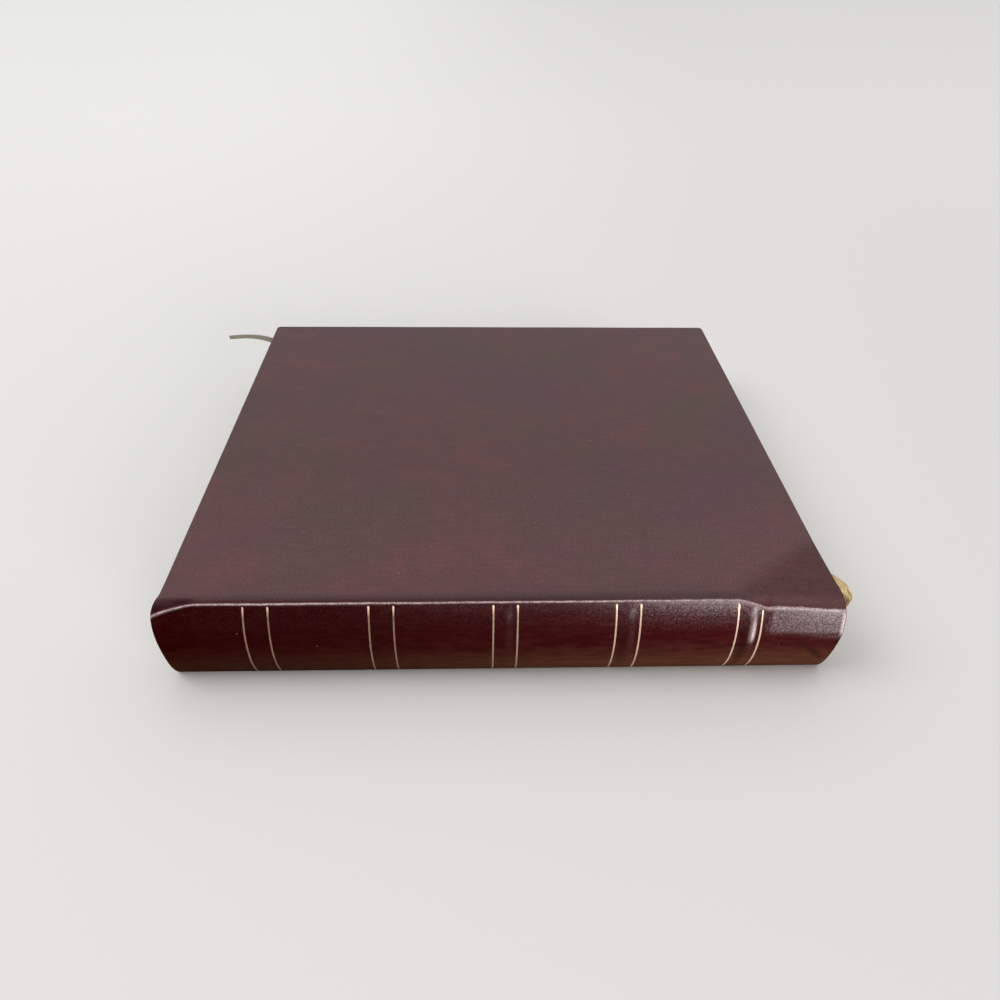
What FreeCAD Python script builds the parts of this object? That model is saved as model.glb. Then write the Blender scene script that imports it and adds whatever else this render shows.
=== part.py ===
# A large full-leather photo album, bound as a hollow-back case with five raised bands,
# lying closed on its lower cover. Lengths are in millimetres.
#
# Frame: X runs along the spine, tail at -X and head at +X. Y runs from the spine (-Y) to the
# fore-edge (+Y). Z is up. The origin is under the middle of the closed album, on the table.
import FreeCAD, Part
import math
import os
import Sketcher

# The driving sizes: name, value, what it is. Everything else is worked out from them.
SIZES = [
    ("cover_length", 330.0, "covers and spine, head to tail"),
    ("cover_width", 302.0, "fold at the spine to the fore-edge"),
    ("album_height", 48.0, "over both closed covers"),
    ("spine_bulge", 7.2, "how far the rounded spine stands out past its two folds"),
    ("leather_thickness", 1.0, "the hide"),
    ("edge_rounding", 0.8, "rounding of the leather's outer edges"),
    ("corner_radius", 3.0, "the covers' fore-edge corners, seen from above"),
    ("board_thickness", 3.0, "the boards inside the covers"),
    ("board_setback", 1.5, "hinge line to the board's spine edge"),
    ("turn_in_width", 18.0, "leather folded over the board's inner face"),
    ("turn_in_thickness", 0.6, "the same leather, pared thin"),
    ("turn_in_shown", 11.0, "border of turn-in left bare round the pastedown"),
    ("pastedown_thickness", 0.3, "paper lining inside each cover"),
    ("square_width", 4.0, "how far the covers overhang the leaves on three sides"),
    ("fold_land", 1.5, "fold at the spine's edge to the hinge line"),
    ("joint_gap", 0.3, "between the spine's leather and a cover's, at the hinge line"),
    ("fold_flat", 1.6, "height over which the spine leather's inner face runs flat into a fold"),
    ("lower_clearance", 0.3, "under the lower flyleaf"),
    ("flyleaf_thickness", 0.4, "the free endpaper at each side"),
    ("leaf_count", 30, "stiff album leaves"),
    ("guard_thickness", 0.4, "guard and tissue between two leaves"),
    ("guard_setback", 1.2, "how far they stay inside the leaves' edges"),
    ("glue_line", 0.1, "between the curved layers of the spine"),
    ("mull_thickness", 0.4, "cloth lining glued to the backs of the leaves"),
    ("mull_margin", 13.0, "leaf ends to the mull's ends"),
    ("hollow_depth", 1.6, "between the mull and the spine's card: the paper tube fills it"),
    ("hollow_wall", 0.35, "one ply of the tube"),
    ("hollow_end_gap", 1.0, "tube's end to the spine's turn-in"),
    ("inlay_thickness", 1.2, "card that stiffens the spine"),
    ("inlay_margin", 0.3, "spine layers' edges short of the hinge line"),
    ("cap_turn_in", 12.0, "spine leather folded in at head and tail"),
    ("headband_radius", 1.6, "the silk bead at head and tail"),
    ("headband_tape", 0.3, "its cloth tape, glued to the leaves' backs"),
    ("headband_tape_width", 10.0, "the same, along the spine"),
    ("headband_margin", 1.0, "leaf block's faces to the bead's ends"),
    ("band_count", 5, "raised bands across the spine"),
    ("tail_panel", 46.8, "tail end of the spine to the middle of the first band"),
    ("head_panel", 45.2, "head end of the spine to the middle of the last band"),
    ("band_width", 7.0, "the strip under the leather"),
    ("band_height", 1.6, "the same, over the card"),
    ("band_end_angle", 2.5, "degrees short of each fold"),
    ("rule_spacing", 11.8, "between the two gilt rules that flank a band"),
    ("rule_width", 1.0, "one gilt rule"),
    ("rule_depth", 0.2, "the tooled groove that it lies in"),
    ("rule_thickness", 0.12, "the gold foil"),
    ("ribbon_width", 6.4, "the marker ribbon"),
    ("ribbon_thickness", 0.3, "the same"),
    ("ribbon_clearance", 0.3, "over and under the ribbon, between the flyleaf and the cover"),
    ("ribbon_drop", 4.15, "leaves' upper face to the ribbon's middle, where it is glued behind them"),
]


# A size or a sum worked out from sizes. It keeps both the number and the sheet formula that gives
# it, so that a sketch is drawn near its final shape and stays bound to the sheet's cells.
class Size:
    def __init__(self, number, formula):
        self.number = number
        self.formula = formula

    def __add__(self, other):
        return joined(self, "+", other)

    def __radd__(self, other):
        return joined(other, "+", self)

    def __sub__(self, other):
        return joined(self, "-", other)

    def __rsub__(self, other):
        return joined(other, "-", self)

    def __mul__(self, other):
        return joined(self, "*", other)

    def __rmul__(self, other):
        return joined(other, "*", self)

    def __truediv__(self, other):
        return joined(self, "/", other)

    def __neg__(self):
        return joined(0, "-", self)


def as_size(value):
    return value if isinstance(value, Size) else Size(float(value), repr(value))


def joined(left, sign, right):
    left, right = as_size(left), as_size(right)
    numbers = {
        "+": lambda: left.number + right.number,
        "-": lambda: left.number - right.number,
        "*": lambda: left.number * right.number,
        "/": lambda: left.number / right.number,
    }
    return Size(numbers[sign](), f"({left.formula} {sign} {right.formula})")


def root(value):
    return Size(math.sqrt(value.number), f"sqrt({value.formula})")


# The angle, in degrees, whose sine is value.
def angle_of_sine(value):
    return Size(math.degrees(math.asin(value.number)), f"(asin({value.formula}) / 1deg)")


def bind(thing, name, value):
    thing.setExpression(name, as_size(value).formula)


doc = FreeCAD.newDocument("photo_album")
sheet = doc.addObject("Spreadsheet::Sheet", "Sizes")


# One row of the sheet for each driving size.
def size_from_sheet(row, name, number, meaning):
    sheet.set(f"A{row}", meaning)
    sheet.set(f"B{row}", str(number))
    sheet.setAlias(f"B{row}", name)
    return Size(float(number), f"Sizes.{name}")


size = {}
for row, (name, number, meaning) in enumerate(SIZES, start=1):
    size[name] = size_from_sheet(row, name, number, meaning)
doc.recompute()

# ---- Places worked out from the sizes ----

half_length = size["cover_length"] / 2
half_height = size["album_height"] / 2
leather = size["leather_thickness"]

glue = size["glue_line"]

# Along Y: the covers run from the folds to the fore-edge, and the spine and its bands bulge in
# front.
band_rise = size["band_height"] + glue
fold_y = (size["spine_bulge"] + band_rise - size["cover_width"]) / 2
fore_edge_y = fold_y + size["cover_width"]
hinge_y = fold_y + size["fold_land"]
cover_start_y = hinge_y + size["joint_gap"] / 2
spine_leather_end_y = hinge_y - size["joint_gap"] / 2
board_start_y = hinge_y + size["board_setback"]

# Across a cover, from its outer face inwards.
board_depth = leather
lining_depth = board_depth + size["board_thickness"]
pastedown_depth = lining_depth + size["turn_in_thickness"]
cover_thickness = pastedown_depth + size["pastedown_thickness"]

# The leaves, between the flyleaves.
flyleaf = size["flyleaf_thickness"]
lower_flyleaf_z = cover_thickness + size["lower_clearance"]
block_bottom_z = lower_flyleaf_z + flyleaf
ribbon_room = size["ribbon_thickness"] + 2 * size["ribbon_clearance"]
block_top_z = size["album_height"] - cover_thickness - ribbon_room - flyleaf
leaf_half_length = half_length - size["square_width"]

# The spine: layers about one axis, which runs along X at half the album's height.
spine_radius = (half_height * half_height + size["spine_bulge"] * size["spine_bulge"]) / (
    2 * size["spine_bulge"])
spine_axis_y = fold_y + spine_radius - size["spine_bulge"]
leather_inner_radius = spine_radius - leather
inlay_outer_radius = leather_inner_radius - glue
inlay_inner_radius = inlay_outer_radius - size["inlay_thickness"]
hollow_outer_radius = inlay_inner_radius - glue
turn_in_inner_radius = hollow_outer_radius - size["turn_in_thickness"]
hollow_inner_radius = hollow_outer_radius - size["hollow_depth"]
mull_outer_radius = hollow_inner_radius - glue
mull_inner_radius = mull_outer_radius - size["mull_thickness"]
back_radius = mull_inner_radius - glue
hollow_half_length = half_length - leather - size["cap_turn_in"] - size["hollow_end_gap"]


# How far above and below the spine's axis a layer reaches before its inner face would cross the
# hinge line, less the margin.
def layer_half_height(inner_radius):
    reach = spine_leather_end_y - spine_axis_y
    return root(inner_radius * inner_radius - reach * reach) - size["inlay_margin"]


inlay_low_z = half_height - layer_half_height(inlay_inner_radius)
inlay_high_z = half_height + layer_half_height(inlay_inner_radius)
turn_in_low_z = half_height - layer_half_height(turn_in_inner_radius)
turn_in_high_z = half_height + layer_half_height(turn_in_inner_radius)

# The bands and the gilt rules beside them, along X.
first_band_x = size["tail_panel"] - half_length
banded_length = size["cover_length"] - size["tail_panel"] - size["head_panel"]
band_pitch = banded_length / (size["band_count"] - 1)
fold_angle = angle_of_sine(half_height / spine_radius)
band_half_angle = fold_angle - size["band_end_angle"]
band_arc_radius = (size["band_width"] * size["band_width"] / 4
                   + size["band_height"] * size["band_height"]) / (2 * size["band_height"])


# Where a spine layer of the given radius stands at height z.
def layer_y(radius, z):
    rise = z - half_height
    return spine_axis_y - root(radius * radius - rise * rise)


# ---- Drawing helpers ----

# A body named for its piece.
def new_body(name):
    body = doc.addObject("PartDesign::Body", name)
    body.Label = name
    return body


# A sketch on one of the body's own origin planes, moved off it along the sketch's own axes.
def new_sketch(body, name, plane, offset=(0, 0, 0)):
    sketch = body.newObject("Sketcher::SketchObject", f"{body.Name}_{name}")
    support = [item for item in body.Origin.OriginFeatures if item.Role == plane][0]
    sketch.AttachmentSupport = [(support, "")]
    sketch.MapMode = "FlatFace"
    for axis, distance in zip("xyz", offset):
        bind(sketch, f".AttachmentOffset.Base.{axis}", distance)
    return sketch


# Holds one constraint of the sketch to a size.
def drive(sketch, kind, *geometry_and_size):
    *geometry, value = geometry_and_size
    value = as_size(value)
    index = sketch.addConstraint(Sketcher.Constraint(kind, *geometry, value.number))
    bind(sketch, f"Constraints[{index}]", value)


# The centre of the arc of the given radius from one point to the next, left of the way between
# them where the radius is positive and right of it where it is negative.
def arc_centre(start, finish, radius):
    chord = finish - start
    reach = math.sqrt(max(radius * radius - chord.Length ** 2 / 4, 0.0))
    side = FreeCAD.Vector(-chord.y, chord.x, 0).normalize()
    return start + chord / 2 + side * math.copysign(reach, radius)


# The short arc from start to finish about the centre that arc_centre gives.
def arc_edge(start, finish, radius):
    centre = arc_centre(start, finish, radius)
    outwards = (start + finish) / 2 - centre
    if outwards.Length < 1e-6:
        outwards = FreeCAD.Vector(finish.y - start.y, start.x - finish.x, 0)
    middle = centre + outwards.normalize() * abs(radius)
    return Part.Arc(start, middle, finish)


# A closed outline, every corner pinned to its place. Each corner is (x, y) and starts a straight
# side, or is (x, y, radius) and starts an arc, whose radius is positive where its centre lies to
# the left of the way on.
def closed_outline(sketch, corners):
    places = [FreeCAD.Vector(as_size(c[0]).number, as_size(c[1]).number, 0) for c in corners]
    first = sketch.GeometryCount
    starts_and_ends = []
    for index, corner in enumerate(corners):
        start = places[index]
        finish = places[(index + 1) % len(places)]
        if len(corner) == 2:
            sketch.addGeometry(Part.LineSegment(start, finish), False)
            starts_and_ends.append((1, 2))
            continue
        sketch.addGeometry(arc_edge(start, finish, as_size(corner[2]).number), False)
        turns_left = as_size(corner[2]).number > 0
        starts_and_ends.append((1, 2) if turns_left else (2, 1))
    for index, corner in enumerate(corners):
        following = (index + 1) % len(corners)
        side, next_side = first + index, first + following
        end_point, start_point = starts_and_ends[index][1], starts_and_ends[following][0]
        sketch.addConstraint(
            Sketcher.Constraint("Coincident", side, end_point, next_side, start_point))
        start_point = starts_and_ends[index][0]
        drive(sketch, "DistanceX", -1, 1, side, start_point, corner[0])
        drive(sketch, "DistanceY", -1, 1, side, start_point, corner[1])
        if len(corner) == 3:
            radius = as_size(corner[2])
            drive(sketch, "Radius", side, radius if radius.number > 0 else -radius)


# A band between two radii of the spine, cut level at its lower and upper heights, in a sketch
# whose axes are Y and Z.
def layer_outline(sketch, outer_radius, inner_radius, low_z, high_z):
    closed_outline(sketch, [
        (layer_y(outer_radius, high_z), high_z, outer_radius),
        (layer_y(outer_radius, low_z), low_z),
        (layer_y(inner_radius, low_z), low_z, -inner_radius),
        (layer_y(inner_radius, high_z), high_z),
    ])


# A rectangle from the cover's spine side to its fore-edge, inset from the cover's outline, with
# the two fore-edge corners rounded where a radius is given.
def cover_outline(sketch, start_y, inset, radius=None):
    side_x = half_length - inset
    end_y = fore_edge_y - inset
    if radius is None:
        corners = [(-side_x, start_y), (side_x, start_y), (side_x, end_y), (-side_x, end_y)]
    else:
        corners = [
            (-side_x, start_y),
            (side_x, start_y),
            (side_x, end_y - radius, radius),
            (side_x - radius, end_y),
            (radius - side_x, end_y, radius),
            (-side_x, end_y - radius),
        ]
    closed_outline(sketch, corners)


def pad(body, sketch, length, both_ways=False):
    feature = body.newObject("PartDesign::Pad", f"{sketch.Name}_pad")
    feature.Profile = sketch
    feature.SideType = "Symmetric" if both_ways else "One side"
    bind(feature, "Length", length)
    sketch.Visibility = False
    return feature


# Cuts from the sketch's plane towards its normal.
def pocket(body, sketch, length, both_ways=False):
    feature = body.newObject("PartDesign::Pocket", f"{sketch.Name}_pocket")
    feature.Profile = sketch
    feature.SideType = "Symmetric" if both_ways else "One side"
    feature.Reversed = not both_ways
    bind(feature, "Length", length)
    return feature


# Turns a profile about its sketch's own horizontal axis, half the angle each way.
def turned(body, kind, sketch, half_angle):
    feature = body.newObject(f"PartDesign::{kind}", f"{sketch.Name}_turned")
    feature.Profile = sketch
    feature.ReferenceAxis = (sketch, ["H_Axis"])
    feature.Midplane = True
    bind(feature, "Angle", 2 * half_angle)
    return feature


def rounded(body, name, base, chooses, radius):
    doc.recompute()
    edges = [f"Edge{index}" for index, edge in enumerate(base.Shape.Edges, start=1) if chooses(edge)]
    if not edges:
        raise RuntimeError(f"no edge to round for {name}")
    feature = body.newObject("PartDesign::Fillet", f"{body.Name}_{name}")
    feature.Base = (base, edges)
    bind(feature, "Radius", radius)
    return feature


def near(first, second):
    return abs(first - as_size(second).number) < 1e-4


# ---- Covers ----

# The height of a cover's layer, from how deep it lies under the cover's outer face.
def layer_bottom_z(which, depth, thickness):
    return size["album_height"] - depth - thickness if which == "upper" else depth


def cover_slab(which, name, depth, thickness, start_y, inset, radius=None):
    body = new_body(f"{which}_{name}")
    bottom_z = layer_bottom_z(which, depth, thickness)
    sketch = new_sketch(body, "outline", "XY_Plane", (0, 0, bottom_z))
    cover_outline(sketch, start_y, inset, radius)
    pad(body, sketch, thickness)
    return body


# The hide on one cover: a skin over the board, wrapped round three of its edges and turned in.
# The board slides in from the spine side, and the turn-ins frame the lining.
def cover_leather(which):
    body = new_body(f"{which}_cover_leather")
    bottom_z = layer_bottom_z(which, as_size(0), pastedown_depth)
    sketch = new_sketch(body, "outline", "XY_Plane", (0, 0, bottom_z))
    cover_outline(sketch, cover_start_y, as_size(0), size["corner_radius"])
    block = pad(body, sketch, pastedown_depth)

    def is_rim(edge):
        box = edge.BoundBox
        level = box.ZLength < 1e-4
        return level and not (near(box.YMin, cover_start_y) and box.YLength < 1e-4)

    rounded(body, "rim", block, is_rim, size["edge_rounding"])

    board_space = new_sketch(body, "board_space", "XY_Plane", (
        0, 0, layer_bottom_z(which, board_depth, size["board_thickness"])))
    cover_outline(board_space, cover_start_y - leather, leather, size["corner_radius"] - leather)
    pocket(body, board_space, size["board_thickness"])

    lining_space = new_sketch(body, "lining_space", "XY_Plane", (
        0, 0, layer_bottom_z(which, lining_depth, size["turn_in_thickness"])))
    cover_outline(lining_space, cover_start_y - leather, size["turn_in_width"])
    pocket(body, lining_space, size["turn_in_thickness"])
    return body


def cover(which):
    return [
        cover_slab(which, "board", board_depth, size["board_thickness"], board_start_y,
                   leather, size["corner_radius"] - leather),
        cover_slab(which, "infill", lining_depth, size["turn_in_thickness"], board_start_y,
                   size["turn_in_width"]),
        cover_leather(which),
        cover_slab(which, "pastedown", pastedown_depth, size["pastedown_thickness"],
                   board_start_y, size["turn_in_shown"]),
    ]


# ---- Spine ----

# Where the pared faces of a raised band meet, as shares of half its width.
BAND_FACETS = (-1.0, -0.7, -0.3, 0.3, 0.7, 1.0)


# The profile of a raised band, pared to a round with flat cuts, standing on a layer of the given
# radius and grown outwards by extra. Its sketch's axes are X and the distance out from the
# spine's axis, which is negative here because the spine faces -Y.
def band_profile(sketch, base_radius, extra, centre_x):
    arc_radius = band_arc_radius + extra
    centre_out = leather_inner_radius + size["band_height"] - band_arc_radius
    drop = base_radius - centre_out
    half_width = root(arc_radius * arc_radius - drop * drop)
    corners = []
    for share in BAND_FACETS:
        aside = share * half_width
        corners.append((centre_x + aside, -(centre_out + root(arc_radius * arc_radius - aside * aside))))
    closed_outline(sketch, corners)


# The spine's leather: rounded over the card, folded at both edges onto the covers, lifted over
# the bands, turned in at head and tail, with a shallow tooled groove for each gilt rule.
def spine_leather():
    body = new_body("spine_leather")
    skin = new_sketch(body, "skin", "YZ_Plane")
    top_z = size["album_height"]
    inner_top_z = top_z - leather
    inner_corner_y = layer_y(leather_inner_radius, inner_top_z)
    round_low_z = leather + size["fold_flat"]
    round_high_z = top_z - round_low_z
    round_end_y = layer_y(leather_inner_radius, round_high_z)
    closed_outline(skin, [
        (fold_y, top_z, spine_radius),
        (fold_y, 0),
        (spine_leather_end_y, 0),
        (spine_leather_end_y, leather),
        (inner_corner_y, leather),
        (round_end_y, round_low_z, -leather_inner_radius),
        (round_end_y, round_high_z),
        (inner_corner_y, inner_top_z),
        (spine_leather_end_y, inner_top_z),
        (spine_leather_end_y, top_z),
    ])
    shell = pad(body, skin, size["cover_length"], both_ways=True)

    def is_fold(edge):
        box = edge.BoundBox
        at_an_edge = near(box.ZMin, 0) or near(box.ZMin, top_z)
        return near(box.YMin, fold_y) and box.YLength < 1e-4 and box.ZLength < 1e-4 and at_an_edge

    rounded(body, "folds", shell, is_fold, size["edge_rounding"])

    # Head and tail: the leather covers the card's end and comes back inside.
    end_wall = new_sketch(body, "end_wall", "YZ_Plane", (0, 0, half_length - leather))
    closed_outline(end_wall, [
        (layer_y(leather_inner_radius, inlay_high_z), inlay_high_z, leather_inner_radius),
        (layer_y(leather_inner_radius, inlay_low_z), inlay_low_z),
        (layer_y(hollow_outer_radius, inlay_low_z), inlay_low_z, -hollow_outer_radius),
        (layer_y(hollow_outer_radius, turn_in_low_z), turn_in_low_z),
        (layer_y(turn_in_inner_radius, turn_in_low_z), turn_in_low_z, -turn_in_inner_radius),
        (layer_y(turn_in_inner_radius, turn_in_high_z), turn_in_high_z),
        (layer_y(hollow_outer_radius, turn_in_high_z), turn_in_high_z, -hollow_outer_radius),
        (layer_y(hollow_outer_radius, inlay_high_z), inlay_high_z),
    ])
    wall = pad(body, end_wall, leather)
    turn_in = new_sketch(body, "turn_in", "YZ_Plane", (
        0, 0, half_length - leather - size["cap_turn_in"]))
    layer_outline(turn_in, hollow_outer_radius, turn_in_inner_radius, turn_in_low_z, turn_in_high_z)
    flap = pad(body, turn_in, size["cap_turn_in"])
    other_end = body.newObject("PartDesign::Mirrored", "spine_leather_other_end")
    other_end.Originals = [wall, flap]
    other_end.MirrorPlane = (
        [item for item in body.Origin.OriginFeatures if item.Role == "YZ_Plane"][0], [""])
    body.Tip = other_end

    # Bands and rules, made once and repeated along the spine.
    axis_place = (0, spine_axis_y, half_height)
    lift = new_sketch(body, "band_lift", "XY_Plane", axis_place)
    band_profile(lift, spine_radius, glue + leather, first_band_x)
    lifted = turned(body, "Revolution", lift, band_half_angle)
    room = new_sketch(body, "band_room", "XY_Plane", axis_place)
    band_profile(room, leather_inner_radius, glue, first_band_x)
    hollowed = turned(body, "Groove", room, band_half_angle)
    tooling = new_sketch(body, "tooling", "XY_Plane", axis_place)
    for side in (-1, 1):
        middle = first_band_x + side * size["rule_spacing"] / 2
        rule_outline(tooling, middle, size["rule_depth"] + size["rule_depth"], size["rule_depth"])
    tooled = turned(body, "Groove", tooling, fold_angle)
    repeated = body.newObject("PartDesign::LinearPattern", "spine_leather_bands")
    repeated.Originals = [lifted, hollowed, tooled]
    repeated.Direction = (
        [item for item in body.Origin.OriginFeatures if item.Role == "X_Axis"][0], [""])
    bind(repeated, "Length", banded_length)
    bind(repeated, "Occurrences", size["band_count"])
    body.Tip = repeated
    return body


# A gilt rule's cross-section: its bottom is depth under the leather's face.
def rule_outline(sketch, middle_x, height, depth):
    half_width = size["rule_width"] / 2
    bottom = spine_radius - depth
    closed_outline(sketch, [
        (middle_x - half_width, -bottom),
        (middle_x - half_width, -(bottom + height)),
        (middle_x + half_width, -(bottom + height)),
        (middle_x + half_width, -bottom),
    ])


def spine_inlay():
    body = new_body("spine_inlay")
    sketch = new_sketch(body, "section", "YZ_Plane")
    layer_outline(sketch, inlay_outer_radius, inlay_inner_radius, inlay_low_z, inlay_high_z)
    pad(body, sketch, 2 * (half_length - leather), both_ways=True)
    return body


# A raised band: a rounded strip glued across the card, under the leather.
def raised_band(index):
    body = new_body(f"raised_band_{index + 1}")
    sketch = new_sketch(body, "section", "XY_Plane", (0, spine_axis_y, half_height))
    band_profile(sketch, leather_inner_radius, as_size(0), as_size(0))
    turned(body, "Revolution", sketch, band_half_angle)
    bind(body, ".Placement.Base.x", first_band_x + index * band_pitch)
    return body


# A gilt rule: gold foil pressed into its groove, from one fold to the other.
def gilt_rule(index):
    body = new_body(f"gilt_rule_{index + 1}")
    sketch = new_sketch(body, "section", "XY_Plane", (0, spine_axis_y, half_height))
    rule_outline(sketch, as_size(0), size["rule_thickness"], size["rule_depth"])
    turned(body, "Revolution", sketch, fold_angle - size["band_end_angle"] / 2)
    side = -1 if index % 2 == 0 else 1
    place = first_band_x + (index // 2) * band_pitch + side * size["rule_spacing"] / 2
    bind(body, ".Placement.Base.x", place)
    return body


# ---- Text block ----

# The leaves, as one solid: each leaf's edges stand past the guards that part it from the next,
# and the stack is rounded, so its back is convex and its fore-edge hollow by the same curve.
def page_block():
    count = int(round(size["leaf_count"].number))
    guard = size["guard_thickness"].number
    setback = size["guard_setback"].number
    bottom, top = block_bottom_z.number, block_top_z.number
    leaf = (top - bottom - (count - 1) * guard) / count
    half = leaf_half_length.number
    radius = back_radius.number
    width = fore_edge_y.number - size["square_width"].number - layer_y(back_radius, block_top_z).number

    def layer(z, thickness, inset):
        rise = max(abs(z - half_height.number), abs(z + thickness - half_height.number))
        back_y = spine_axis_y.number - math.sqrt(radius ** 2 - rise ** 2)
        corner = FreeCAD.Vector(inset - half, back_y + inset, z)
        return Part.makeBox(2 * (half - inset), width - 2 * inset, thickness, corner)

    layers = []
    for index in range(count):
        z = bottom + index * (leaf + guard)
        layers.append(layer(z, leaf, 0.0))
        if index < count - 1:
            layers.append(layer(z + leaf, guard, setback))
    block = doc.addObject("Part::Feature", "page_block")
    block.Shape = layers[0].multiFuse(layers[1:]).Solids[0]
    block.Label = "page_block"
    return block


def flyleaf_sheet(which):
    box = doc.addObject("Part::Box", f"{which}_flyleaf")
    box.Label = f"{which}_flyleaf"
    outer_z = block_top_z + flyleaf if which == "upper" else lower_flyleaf_z
    start_y = layer_y(back_radius, outer_z)
    bind(box, "Length", 2 * leaf_half_length)
    bind(box, "Width", fore_edge_y - size["square_width"] - start_y)
    bind(box, "Height", flyleaf)
    bind(box, "Placement.Base.x", -leaf_half_length)
    bind(box, "Placement.Base.y", start_y)
    bind(box, "Placement.Base.z", block_top_z if which == "upper" else lower_flyleaf_z)
    return box


def mull_lining():
    body = new_body("mull_lining")
    sketch = new_sketch(body, "section", "YZ_Plane")
    layer_outline(sketch, mull_outer_radius, mull_inner_radius, block_bottom_z, block_top_z)
    pad(body, sketch, 2 * (leaf_half_length - size["mull_margin"]), both_ways=True)
    return body


# The flattened paper tube between the mull and the card, glued to both, which springs open when
# the album does.
def spine_hollow():
    body = new_body("spine_hollow")
    wall = size["hollow_wall"]
    sketch = new_sketch(body, "section", "YZ_Plane")
    layer_outline(sketch, hollow_outer_radius, hollow_inner_radius, block_bottom_z, block_top_z)
    pad(body, sketch, 2 * hollow_half_length, both_ways=True)
    bore = new_sketch(body, "inside", "YZ_Plane")
    layer_outline(bore, hollow_outer_radius - wall, hollow_inner_radius + wall,
                  block_bottom_z + wall, block_top_z - wall)
    pocket(body, bore, 2 * size["cover_length"], both_ways=True)
    return body


# Corners on the outer half of a bead's section, from its outer side round to its inner side, as
# shares of its radius: out past the leaf ends, and in towards the spine's axis.
BEAD_CORNERS = [(math.sin(turn), 1 - math.cos(turn))
                for turn in (0, math.pi / 3, 2 * math.pi / 3, math.pi)]


# A headband: a round bead against the leaf ends, on a tape glued to the leaves' backs.
def headband(name, end):
    body = new_body(name)
    sketch = new_sketch(body, "section", "XY_Plane", (0, spine_axis_y, half_height))
    bead = size["headband_radius"]
    inner = mull_inner_radius
    outer = inner + size["headband_tape"]
    tape_x = leaf_half_length - size["headband_tape_width"]
    bead_x = leaf_half_length + bead
    corners = [(tape_x, -inner), (tape_x, -outer)]
    corners += [(bead_x + out * bead, inwards * bead - outer) for out, inwards in BEAD_CORNERS]
    corners += [(leaf_half_length, 2 * bead - outer), (leaf_half_length, -inner)]
    if end < 0:
        corners = [(-x, y) for x, y in reversed(corners)]
    closed_outline(sketch, corners)
    reach = (block_top_z - block_bottom_z) / 2 - size["headband_margin"]
    turned(body, "Revolution", sketch, angle_of_sine(reach / outer))
    return body


# ---- Ribbon marker ----

# The ribbon's route, chosen by hand. Glued behind the leaves' backs at the head, it comes out past
# the head of the spine: each point is how far it lies towards the head from the covers' head end,
# towards the fore-edge from the ribbon's place in the spine, and up from its middle there.
ROUTE_IN_SPINE = [
    (-13.0, 0.0, 0.0),
    (-5.0, 0.0, 0.0),
    (0.8, -0.25, 0.1),
    (4.3, 2.15, 1.05),
]
# It turns in under the upper cover: the same, but up from the level at which it lies there.
ROUTE_TURNING_IN = [
    (7.0, 10.25, -1.85),
    (5.8, 18.45, -0.3),
    (-1.5, 25.15, 0.0),
    (-18.0, 35.8, 0.0),
    (-46.0, 56.8, 0.0),
    (-92.0, 96.8, 0.0),
    (-157.0, 154.8, 0.0),
]
# It comes out at the tail near the fore-edge, where its end lies free: each point is towards the
# head from the covers' tail end, and towards the fore-edge from the covers' fore-edge.
ROUTE_OUT_AT_TAIL = [
    (107.0, -95.5, 0.0),
    (54.0, -54.5, 0.0),
    (21.0, -29.5, 0.0),
    (3.0, -17.0, 0.0),
    (-9.0, -9.0, -0.15),
    (-19.0, -5.7, -0.55),
    (-29.0, -4.7, -1.15),
    (-38.0, -5.0, -1.95),
]
TWIST_START = 14.0
TWIST_END = 36.0
STATIONS_PER_RUN = 2


def ribbon_route():
    head_x = half_length.number
    tape_radius = mull_inner_radius + size["headband_tape"]
    spine_z = (block_top_z - size["ribbon_drop"]).number
    spine_y = layer_y((tape_radius + turn_in_inner_radius) / 2, as_size(spine_z)).number
    flat_z = (block_top_z + flyleaf + ribbon_room / 2).number
    fore_y = fore_edge_y.number
    route = [(head_x + x, spine_y + y, spine_z + z) for x, y, z in ROUTE_IN_SPINE]
    route += [(head_x + x, spine_y + y, flat_z + z) for x, y, z in ROUTE_TURNING_IN]
    route += [(x - head_x, fore_y + y, flat_z + z) for x, y, z in ROUTE_OUT_AT_TAIL]
    return route


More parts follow.
